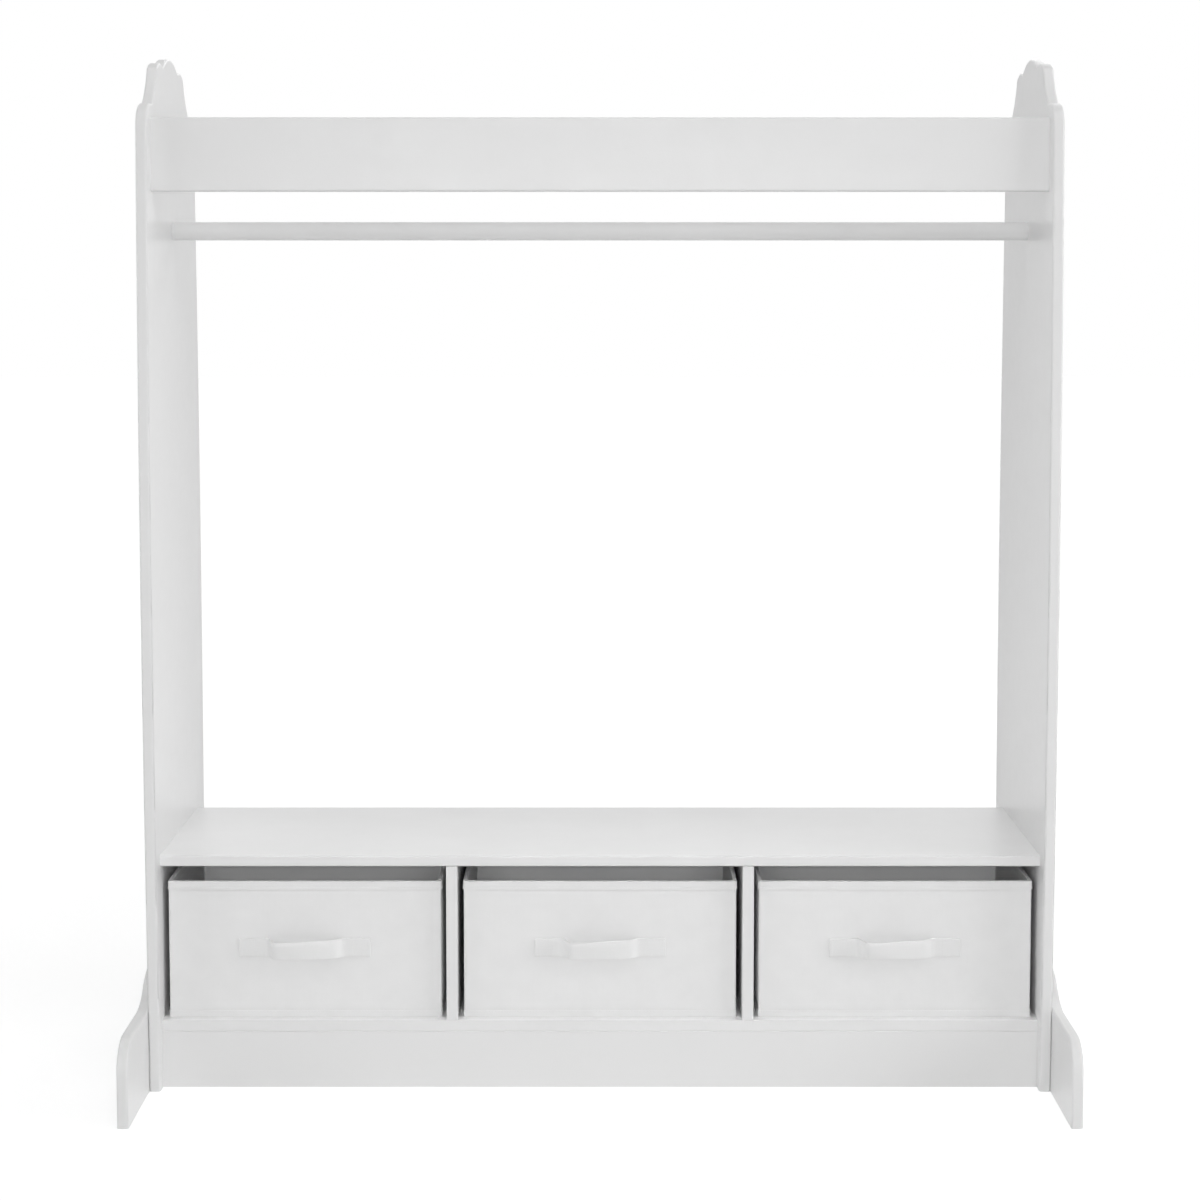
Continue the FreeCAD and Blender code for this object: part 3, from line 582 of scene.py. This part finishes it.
# The strap's line seen from above: across the bin, and out from the bin's face, in millimetres
STRAP_LINE = ((-70.5, 0), (-62, 0), (-54, 0), (-48, 0), (-43, 0), (-40, 0.4), (-37.6, 4), (-35.6, 10),
              (-33.8, 16), (-32, 19), (-29, 19.7), (-23, 19.2), (-12, 17.8), (0, 15.6), (12, 13.2),
              (23, 10.8), (30, 8.8), (33, 7.6), (36, 4.6), (39.6, 0.6), (43, 0), (49, 0), (59, 0), (70.5, 0))
STRAP_LINE_ORDER = 4
STRAP_LINE_STEPS = 12

# How far the cloth stands out of true, and over what lengths
FRONT_SWELL = 0.8 * MM
SIDE_SWELL = 1.1 * MM
LINING_SWELL = 1.4 * MM
BASE_SWELL = 0.5 * MM
SWELL_SPAN = 75 * MM
SMALL_SWELL_SHARE = 0.35
SMALL_SWELL_SPAN = SWELL_SPAN / 2.7
SEAM_REACH = 18 * MM
CORNER_REACH = 24 * MM
PUCKER = 0.2 * MM
PUCKER_SPAN = 9 * MM
PUCKER_LENGTHENING = 3
PUCKER_RISE = SEAM_REACH / 4
SEAM_PINCH = 0.5 * MM
SEAM_PINCH_REACH = 2.4 * MM
RIM_WAVE = 0.5 * MM
RIM_SPAN = 60 * MM
HEM_FLARE = 1.0 * MM
HEM_FLARE_LEAST = 0.35
HEM_FLARE_REACH = 3.5 * MM
HEM_FLARE_SPAN = RIM_SPAN / 2
LOOP_TUCK = 15 * MM
LOOP_TUCK_BEND = 1.5
LOOP_CURL = 0.8 * MM
LOOP_CURL_SHARE = 0.2
LOOP_REACH = 12 * MM
LOOP_FLUTTER = 0.5 * MM
LOOP_FLUTTER_SPAN = 22 * MM

# Where in the noise each of them starts
SEEDS = {"swell": 0, "rim": 3, "flutter": 4, "small_swell": 5, "base": 6, "lining": 7, "flare": 8,
         "pucker": 9}

# Heights of the bins' seams, at rest on the shelf
BIN_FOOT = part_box("bottom_shelf")[1].z + SHELF_CLEARANCE
BAND_TOP = BIN_FOOT + FOOT_BAND
HEM_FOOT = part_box("middle_bin_rim_hem")[0].z


def open_box(piece, corner, side=1):
    """Take a box's lid off, or its underside with a side of -1, and round its four upright corners."""
    open_up(piece)
    pick(piece, "faces", lambda face: side * face.normal.z > FACES_AXIS)
    bpy.ops.mesh.delete(type="ONLY_FACE")
    pick(piece, "edges", lambda edge: runs_along(edge, Z))
    round_off(corner, CORNER_STEPS)
    close_up()


def round_foot(piece, radius):
    """Round the edge between a piece's walls and its underside."""
    open_up(piece)
    pick(piece, "edges", lambda edge: any(face.normal.z < -FACES_AXIS for face in edge.link_faces)
         and any(is_upright(face) for face in edge.link_faces))
    round_off(radius, FOOT_STEPS)
    close_up()


def cover_master():
    """The outer cloth, with a doubled band round its foot."""
    low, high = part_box("middle_bin_cover")
    low.z = BIN_FOOT
    piece = start_box("cover_master", low, high)
    open_box(piece, COVER_CORNER)
    slice_walls(piece, low, high, COVER_CORNER, CLOTH_CELL)
    slice_through(piece, [*steps_between(BIN_FOOT, BAND_TOP, CLOTH_CELL), BAND_TOP], Z)
    slice_through(piece, [*steps_between(BAND_TOP, HEM_FOOT, CLOTH_CELL), HEM_FOOT], Z)
    slice_through(piece, [BAND_TOP + SEAM_CELL, HEM_FOOT - SEAM_CELL], Z)
    open_up(piece)
    pick(piece, "faces", lambda face: is_upright(face) and face.calc_center_median().z < BAND_TOP)
    bpy.ops.mesh.extrude_region_shrink_fatten(TRANSFORM_OT_shrink_fatten={"value": FOOT_BAND_STEP})
    close_up()
    round_foot(piece, COVER_FOOT)
    apply(piece, "SOLIDIFY", thickness=COVER_CLOTH, offset=-1)
    return piece


def hem_master():
    """The binding folded over the top of the wall."""
    low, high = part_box("middle_bin_rim_hem")
    piece = start_box("hem_master", low, high)
    open_box(piece, COVER_CORNER + HEM_CLOTH, side=-1)
    open_up(piece)
    pick(piece, "faces", lambda face: face.normal.z > FACES_AXIS)
    bpy.ops.mesh.inset(thickness=HEM_WALL, depth=0)
    bpy.ops.mesh.extrude_region_move(TRANSFORM_OT_translate={"value": (0, 0, low.z - high.z)})
    bpy.ops.mesh.delete(type="FACE")
    pick(piece, "edges", lambda edge: middle_of(edge).z > high.z - SAME_HEIGHT and len(edge.link_faces) == 2
         and abs(edge.link_faces[0].normal.z - edge.link_faces[1].normal.z) > TURNS_OVER)
    round_off(HEM_ROUND, ROUND_STEPS)
    close_up()
    slice_walls(piece, low, high, HEM_WALL + COVER_CORNER, CLOTH_CELL)
    slice_through(piece, steps_between(low.z, high.z - HEM_ROUND, CLOTH_CELL), Z)
    apply(piece, "SOLIDIFY", thickness=HEM_CLOTH, offset=-1)
    return piece


def card_master():
    """Four stiff boards in the walls, short of the corners."""
    low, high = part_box("middle_bin_wall_boards")
    boards = []
    for start, inwards in ((low, CARD), (high, -CARD)):
        front_low = Vector((low.x + CARD_CORNER, min(start.y, start.y + inwards), low.z))
        front_high = Vector((high.x - CARD_CORNER, max(start.y, start.y + inwards), high.z))
        side_low = Vector((min(start.x, start.x + inwards), low.y + CARD_CORNER, low.z))
        side_high = Vector((max(start.x, start.x + inwards), high.y - CARD_CORNER, high.z))
        boards.append(start_box("card_front", front_low, front_high))
        boards.append(start_box("card_side", side_low, side_high))
    choose(*boards)
    bpy.ops.object.join()
    piece = boards[0]
    piece.name = "card_master"
    apply(piece, "BEVEL", width=CARD_EDGE, segments=CARD_STEPS)
    return piece


def lining_master():
    """The thin inner cloth, an open box."""
    low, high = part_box("middle_bin_lining")
    piece = start_box("lining_master", low, high)
    open_box(piece, LINING_CORNER)
    round_foot(piece, LINING_CORNER)
    slice_walls(piece, low, high, LINING_CORNER, WIDE_CELL)
    slice_through(piece, steps_between(low.z + LINING_CORNER, high.z, WIDE_CELL), Z)
    apply(piece, "SOLIDIFY", thickness=LINING_CLOTH, offset=-1)
    return piece


def base_master():
    """The loose bottom board, wrapped in the lining's cloth."""
    low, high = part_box("middle_bin_base_board")
    piece = start_box("base_master", low, high)
    open_up(piece)
    pick(piece, "edges", lambda edge: runs_along(edge, Z))
    round_off(LINING_CORNER, ROUND_STEPS)
    pick(piece, "edges", lambda edge: any(is_upright(face) for face in edge.link_faces)
         and any(not is_upright(face) for face in edge.link_faces))
    round_off(BASE_EDGE, FOOT_STEPS)
    close_up()
    slice_walls(piece, low, high, LINING_CORNER, WIDE_CELL)
    return piece


def strap_curve(face_y, height):
    """The line that the strap follows, from its left tab to its right tab."""
    bpy.ops.object.select_all(action="DESELECT")
    bpy.ops.curve.primitive_nurbs_path_add(location=(0, 0, 0))
    line = bpy.context.object
    line.data.dimensions = "3D"
    line.data.twist_mode = "Z_UP"
    line.data.resolution_u = STRAP_LINE_STEPS
    spline = line.data.splines[0]
    spline.points.add(len(STRAP_LINE) - len(spline.points))
    for point, (across, out) in zip(spline.points, STRAP_LINE):
        point.co = (across * MM, face_y - out * MM - STRAP_CLOTH / 2, height, 1)
    spline.order_u = STRAP_LINE_ORDER
    spline.use_endpoint_u = True
    return line


def curve_length(line):
    """A curve's length, measured along a copy made into a mesh."""
    mesh = bpy.data.meshes.new_from_object(line)
    points = [point.co for point in mesh.vertices]
    length = sum((after - before).length for before, after in zip(points, points[1:]))
    bpy.data.meshes.remove(mesh)
    return length


def strap_master():
    """The handle: a flat strap cut to length and bent along its line, with a tab at each end."""
    low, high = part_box("middle_bin_handle")
    line = strap_curve(high.y, 0)
    length = curve_length(line)
    half = (high.z - low.z) / 2
    piece = start_box("strap_master", (0, -STRAP_CLOTH / 2, -half), (length, STRAP_CLOTH / 2, half))
    apply(piece, "BEVEL", width=STRAP_EDGE, segments=ROUND_STEPS)
    slice_through(piece, steps_between(STRAP_EDGE, length - STRAP_EDGE, STRAP_CELL), X)
    slice_through(piece, steps_between(STRAP_EDGE - half, half - STRAP_EDGE, STRAP_CELL), Z)
    lay_out_cloth(piece)
    apply(piece, "CURVE", object=line, deform_axis="POS_X")
    bpy.data.objects.remove(line)
    shift_mesh(piece, Vector((0, 0, (low.z + high.z) / 2)))
    return piece


def stitch_master():
    """One stitch: a short thread, thinner where it dips into the cloth."""
    length = STITCH["length"]
    bpy.ops.object.select_all(action="DESELECT")
    bpy.ops.mesh.primitive_cylinder_add(vertices=THREAD_SIDES, radius=STITCH["thread"] / 2, depth=length,
                                        rotation=(0, math.pi / 2, 0))
    piece = bpy.context.object
    piece.name = "stitch_master"
    settle()
    slice_through(piece, [-length / 4, 0, length / 4], X)
    for point in piece.data.vertices:
        slim = 1 - STITCH["slimming"] * (2 * abs(point.co.x) / length) ** 2
        point.co.y *= slim
        point.co.z *= slim
    return piece


def seam_path(across, along, corner):
    """A closed rounded rectangle, flat on the ground, for a row of stitches."""
    bpy.ops.object.select_all(action="DESELECT")
    bpy.ops.mesh.primitive_plane_add(size=1)
    path = bpy.context.object
    path.scale = (across, along, 1)
    settle()
    open_up(path)
    bpy.ops.mesh.select_all(action="SELECT")
    bpy.ops.mesh.bevel(offset=corner, segments=SEAM_STEPS, affect="VERTICES")
    pick(path, "faces", lambda face: True)
    bpy.ops.mesh.delete(type="ONLY_FACE")
    close_up()
    bpy.ops.object.convert(target="CURVE")
    path = bpy.context.object
    path.data.dimensions = "2D"
    return path


def row_of_stitches(stitch, across, along, corner):
    """Copies of the stitch round a rounded rectangle."""
    path = seam_path(across, along, corner)
    choose(stitch)
    bpy.ops.object.duplicate()
    row = bpy.context.object
    apply(row, "ARRAY", fit_type="FIT_CURVE", curve=path, use_relative_offset=False,
          use_constant_offset=True, constant_offset_displace=(STITCH["pitch"], 0, 0))
    apply(row, "CURVE", object=path, deform_axis="POS_X")
    bpy.data.objects.remove(path)
    return row


def stitching_master():
    """The rows of stitches on the hem, on the foot band and round each tab of the strap."""
    stitch = stitch_master()
    rows = []
    seams = (("rim_hem", HEM_FOOT + HEM_SEAM, 0), ("cover", BAND_TOP - FOOT_SEAM, FOOT_BAND_STEP))
    for node, seam, proud in seams:
        low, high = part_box("middle_bin_" + node)
        size = high - low
        grow = 2 * (proud + STITCH_SINK)
        row = row_of_stitches(stitch, size.x + grow, size.y + grow, COVER_CORNER + HEM_CLOTH)
        shift_mesh(row, Vector(((low.x + high.x) / 2, (low.y + high.y) / 2, seam)))
        rows.append(row)
    low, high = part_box("middle_bin_handle")
    for end in (-1, 1):
        row = row_of_stitches(stitch, TAB_LENGTH - 2 * TAB_SEAM, high.z - low.z - 2 * TAB_SEAM, TAB_CORNER)
        open_up(row)
        bpy.ops.mesh.select_all(action="SELECT")
        bpy.ops.transform.rotate(value=math.pi / 2, orient_axis="X", center_override=(0, 0, 0))
        close_up()
        middle = end * (high.x - TAB_LENGTH / 2)
        shift_mesh(row, Vector((middle, high.y - STRAP_CLOTH - STITCH_SINK, (low.z + high.z) / 2)))
        rows.append(row)
    bpy.data.objects.remove(stitch)
    choose(*rows)
    bpy.ops.object.join()
    rows[0].name = "stitching_master"
    return rows[0]


def soft_noise(place, span, use):
    """Smooth random values between 0 and 1, a span from wave to wave."""
    seed = SEEDS[use]
    return 0.5 + 0.5 * noise.noise(place / span + Vector((seed, 2 * seed, 3 * seed)))


def wall_at(place, low, high):
    """The way out of a box's nearest wall, the place on that wall, and how far a corner is."""
    centre = (low + high) / 2
    half = (high - low) / 2
    across = place.x - centre.x
    along = place.y - centre.y
    if abs(across) / half.x > abs(along) / half.y:
        out = Vector((math.copysign(1, across), 0, 0))
        on_wall = Vector((centre.x + out.x * half.x, place.y, place.z))
        corner = half.y - abs(along)
    else:
        out = Vector((0, math.copysign(1, along), 0))
        on_wall = Vector((place.x, centre.y + out.y * half.y, place.z))
        corner = half.x - abs(across)
    return out, on_wall, corner


def depth_in(place, low, high):
    """How far a place lies inside the nearest wall of a box."""
    return min(place.x - low.x, high.x - place.x, place.y - low.y, high.y - place.y)


def fade(distance, reach):
    """0 at a place, rising smoothly to 1 at a reach from it."""
    share = min(1, max(0, distance / reach))
    return share * share * (3 - 2 * share)


def swell(place, low, high):
    """How the cover stands out at a place: soft swelling between the seams, puckered and drawn in at them."""
    out, on_wall, corner = wall_at(place, low, high)
    amount = soft_noise(on_wall, SWELL_SPAN, "swell")
    amount += SMALL_SWELL_SHARE * soft_noise(on_wall, SMALL_SWELL_SPAN, "small_swell")
    amount *= SIDE_SWELL if out.x else FRONT_SWELL
    folds = Vector((on_wall.x, on_wall.y, on_wall.z / PUCKER_LENGTHENING))
    puckers = 0
    pinch = 0
    for distance in (place.z - BAND_TOP, HEM_FOOT - place.z):
        amount *= fade(distance, SEAM_REACH)
        puckers += fade(distance, PUCKER_RISE) * (1 - fade(distance, SEAM_REACH))
        if distance > 0:
            pinch += 1 - fade(distance, SEAM_PINCH_REACH)
    amount += PUCKER * puckers * soft_noise(folds, PUCKER_SPAN, "pucker") - SEAM_PINCH * pinch
    return out * amount * fade(corner, CORNER_REACH)


def rim_lift(place):
    """The slight rise and fall of the rim along its length."""
    return Vector((0, 0, RIM_WAVE * (soft_noise(Vector((place.x, place.y, 0)), RIM_SPAN, "rim") - 0.5)))


def hem_flare(place, low, high):
    """How the hem's lower edge stands off the cover."""
    out, on_wall, corner = wall_at(place, low, high)
    share = 1 - fade(place.z - HEM_FOOT, HEM_FLARE_REACH)
    wave = soft_noise(Vector((on_wall.x, on_wall.y, 0)), HEM_FLARE_SPAN, "flare")
    amount = HEM_FLARE_LEAST + (1 - HEM_FLARE_LEAST) * wave
    return out * HEM_FLARE * amount * share * fade(corner, HEM_FLARE_REACH)


def cover_rule(low, high):
    """The walls of the cover swell, and its underside stays flat on the shelf."""
    def rule(place):
        on_wall = depth_in(place, low, high) < 2 * COVER_CLOTH
        return swell(place, low, high) * on_wall
    return rule


def hem_rule(low, high):
    """The hem rises and falls all round, and flares on its outer side."""
    def rule(place):
        on_front = depth_in(place, low, high) < HEM_WALL / 2
        return rim_lift(place) + hem_flare(place, low, high) * on_front
    return rule


def lining_rule(low, high):
    """The lining hangs loose on the walls, between the base and the hem."""
    def rule(place):
        out, on_wall, corner = wall_at(place, low, high)
        on_walls = fade(place.z - low.z, SEAM_REACH) * fade(HEM_FOOT - place.z, SEAM_REACH)
        loose = soft_noise(on_wall, SWELL_SPAN, "lining") * fade(corner, CORNER_REACH)
        return -out * LINING_SWELL * loose * on_walls
    return rule


def base_rule(low, high):
    """The cloth on top of the base board is slightly uneven."""
    def rule(place):
        upper = fade(place.z - low.z, high.z - low.z)
        return Vector((0, 0, BASE_SWELL * soft_noise(place, SWELL_SPAN, "base") * upper))
    return rule


def strap_rule(low, high, strap_low, strap_high):
    """The tabs follow the cover. The loop's lower edge tucks in, most at its left, and its top curls back."""
    def rule(place):
        on_front = Vector((place.x, low.y, place.z))
        wave = soft_noise(Vector((place.x, 0, 0)), LOOP_FLUTTER_SPAN, "flutter")
        flutter = LOOP_FLUTTER * (wave - 0.5)
        raised = fade(low.y - place.y - STRAP_CLOTH, LOOP_REACH)
        across = (place.x - strap_low.x) / (strap_high.x - strap_low.x)
        drop = max(0, (strap_high.z - place.z) / (strap_high.z - strap_low.z))
        tuck = LOOP_TUCK * (1 - across) ** 2 * drop ** LOOP_TUCK_BEND
        curl = LOOP_CURL * (1 - fade(drop, LOOP_CURL_SHARE))
        return swell(on_front, low, high) + Vector((0, raised * (tuck + curl), flutter))
    return rule


def stitch_rule(low, high, hem_low, hem_high):
    """Stitches follow the cloth that they hold: the hem, or else the cover."""
    def rule(place):
        if place.z > HEM_FOOT:
            return rim_lift(place) + hem_flare(place, hem_low, hem_high)
        return swell(place, low, high)
    return rule


def bin_rules(place):
    """How each soft part of one bin is moved out of true."""
    low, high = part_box(f"{place}_bin_cover")
    hem_low, hem_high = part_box(f"{place}_bin_rim_hem")
    lining_low, lining_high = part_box(f"{place}_bin_lining")
    base_low, base_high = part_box(f"{place}_bin_base_board")
    strap_low, strap_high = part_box(f"{place}_bin_handle")
    return {
        "fabric_cover": cover_rule(low, high),
        "rim_binding": hem_rule(hem_low, hem_high),
        "inner_lining": lining_rule(lining_low, lining_high),
        "base_panel": base_rule(base_low, base_high),
        "pull_strap": strap_rule(low, high, strap_low, strap_high),
        "stitching": stitch_rule(low, high, hem_low, hem_high),
    }


def bin_masters():
    """For each part of a bin, its model in its finish, the CAD piece that it replaces and its slot."""
    cover_cloth = bonded_cloth("white_bin_cloth", CLOTH_WHITE, CLOTH_SHADE)
    # The lining and base take painted light: the same cloth in a whiter copy, to brighten the shaded inside
    # of the bins
    lining_cloth_painted_light = bonded_cloth("white_bin_lining_painted_light", LINING_WHITE_PAINTED_LIGHT, LINING_SHADE_PAINTED_LIGHT)
    webbing = woven_webbing()
    thread = sewing_thread()
    card = grey_board()
    masters = {
        "fabric_cover": (cover_master(), "cover", "bin_fabric"),
        "rim_binding": (hem_master(), "rim_hem", "bin_fabric"),
        "card_walls": (card_master(), "wall_boards", "grey_board"),
        "inner_lining": (lining_master(), "lining", "bin_lining"),
        "base_panel": (base_master(), "base_board", "bin_lining"),
        "pull_strap": (strap_master(), "handle", "strap_webbing"),
        "stitching": (stitching_master(), None, "bin_fabric"),
    }
    finishes = {
        "fabric_cover": cover_cloth,
        "rim_binding": cover_cloth,
        "card_walls": card,
        "inner_lining": lining_cloth_painted_light,
        "base_panel": lining_cloth_painted_light,
        "pull_strap": webbing,
        "stitching": thread,
    }
    for part, finish in finishes.items():
        master = masters[part][0]
        if finish in (cover_cloth, lining_cloth_painted_light):
            lay_out_cloth(master)
        smooth(master)
        give_finish(master, finish)
    return masters


def copy_to(master, name, shift):
    """A copy of a master with its own mesh, moved to another bin's place."""
    choose(master)
    bpy.ops.object.duplicate()
    piece = bpy.context.object
    piece.name = name
    piece.data.name = name
    shift_mesh(piece, shift)
    return piece


def dress_bins():
    """Replace the soft solids of the three bins."""
    masters = bin_masters()
    middle_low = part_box("middle_bin_cover")[0]
    for place in BINS:
        rules = bin_rules(place)
        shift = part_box(f"{place}_bin_cover")[0] - middle_low
        for part, (master, node, slot) in masters.items():
            piece = copy_to(master, f"{place}_bin_{part}", shift)
            if part in rules:
                move_points(piece, rules[part])
            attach(piece, f"{place}_bin")
            if node:
                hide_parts(f"{place}_bin_{node}")
    for master, *_ in masters.values():
        bpy.data.objects.remove(master)


# Studio

def seen_directly(finish):
    """1 for rays that show in the picture: from the camera, a mirror or through glass."""
    path = add_node(finish, "LightPath")
    shown = calculate(finish, "MAXIMUM", path.outputs["Is Camera Ray"], path.outputs["Is Glossy Ray"])
    return calculate(finish, "MAXIMUM", shown, path.outputs["Is Transmission Ray"])


def light_and_show(finish, lit, shown, end):
    """Let a finish light the scene with one shader and show in the picture with another."""
    choice = add_node(finish, "MixShader")
    link(finish, seen_directly(finish), choice.inputs["Fac"])
    link(finish, lit, choice.inputs[1])
    link(finish, shown, choice.inputs[2])
    link(finish, choice.outputs["Shader"], finish.node_tree.nodes[end].inputs["Surface"])


def white_room():
    """A world that lights evenly and shows as white."""
    world = bpy.data.worlds.new("white_room")
    bpy.context.scene.world = world
    world.use_nodes = True
    world.node_tree.nodes.remove(world.node_tree.nodes["Background"])
    light = add_node(world, "Background", Color=(*WHITE, 1), Strength=ROOM_STRENGTH)
    shown = add_node(world, "Background", Color=(*WHITE, 1))
    light_and_show(world, light.outputs["Background"], shown.outputs["Background"], "World Output")


def white_floor():
    """A pale floor that shows as white, apart from the rack's soft shadow: it glows less under the lamps."""
    bpy.ops.object.select_all(action="DESELECT")
    bpy.ops.mesh.primitive_plane_add(size=FLOOR_SPAN)
    floor = bpy.context.object
    floor.name = "studio_floor"
    paint = bpy.data.materials.new("studio_floor")
    paint.use_nodes = True
    paint.node_tree.nodes.remove(paint.node_tree.nodes["Principled BSDF"])
    bounce = add_node(paint, "BsdfDiffuse", Color=(FLOOR_TONE, FLOOR_TONE, FLOOR_TONE, 1))
    shade = add_node(paint, "BsdfDiffuse",
                     Color=(FLOOR_SHADOW_DEPTH, FLOOR_SHADOW_DEPTH, FLOOR_SHADOW_DEPTH, 1))
    near = add_node(paint, "TexGradient", gradient_type="QUADRATIC_SPHERE")
    link(paint, place_of(paint, [1 / FLOOR_LIT_REACH] * 3), near.inputs["Vector"])
    glow = add_node(paint, "Emission")
    level = spread(paint, near.outputs["Fac"], FLOOR_GLOW, FLOOR_GLOW_NEAR, within=FULL_RANGE)
    link(paint, level, glow.inputs["Strength"])
    shown = add_node(paint, "AddShader")
    link(paint, shade.outputs["BSDF"], shown.inputs[0])
    link(paint, glow.outputs["Emission"], shown.inputs[1])
    light_and_show(paint, bounce.outputs["BSDF"], shown.outputs["Shader"], "Material Output")
    floor.data.materials.append(paint)


def soft_lamps():
    """The lamps, out of the camera's sight, each turned to what it lights."""
    for name, facts in LAMPS.items():
        light = bpy.data.lights.new(name, "AREA")
        light.shape = "RECTANGLE"
        light.size, light.size_y = facts["size"]
        light.energy = facts["watts"]
        light.spread = math.radians(facts["beam"])
        lamp = bpy.data.objects.new(name, light)
        lamp.location = facts["place"]
        lamp.rotation_euler = (Vector(facts["aim"]) - lamp.location).to_track_quat("-Z", "Y").to_euler()
        lamp.visible_camera = False
        bpy.context.scene.collection.objects.link(lamp)


def front_camera():
    """The camera in front of the rack."""
    lens = bpy.data.cameras.new("front_camera")
    lens.lens = CAMERA_LENS
    lens.shift_y = CAMERA_SHIFT_Y
    camera = bpy.data.objects.new("front_camera", lens)
    camera.location = CAMERA_PLACE
    camera.rotation_euler = (math.pi / 2 - CAMERA_TILT, 0, 0)
    bpy.context.scene.collection.objects.link(camera)
    bpy.context.scene.camera = camera


paint_cad_nodes()
dress_bins()
white_room()
white_floor()
soft_lamps()
front_camera()
bpy.context.scene.view_settings.view_transform = "Standard"
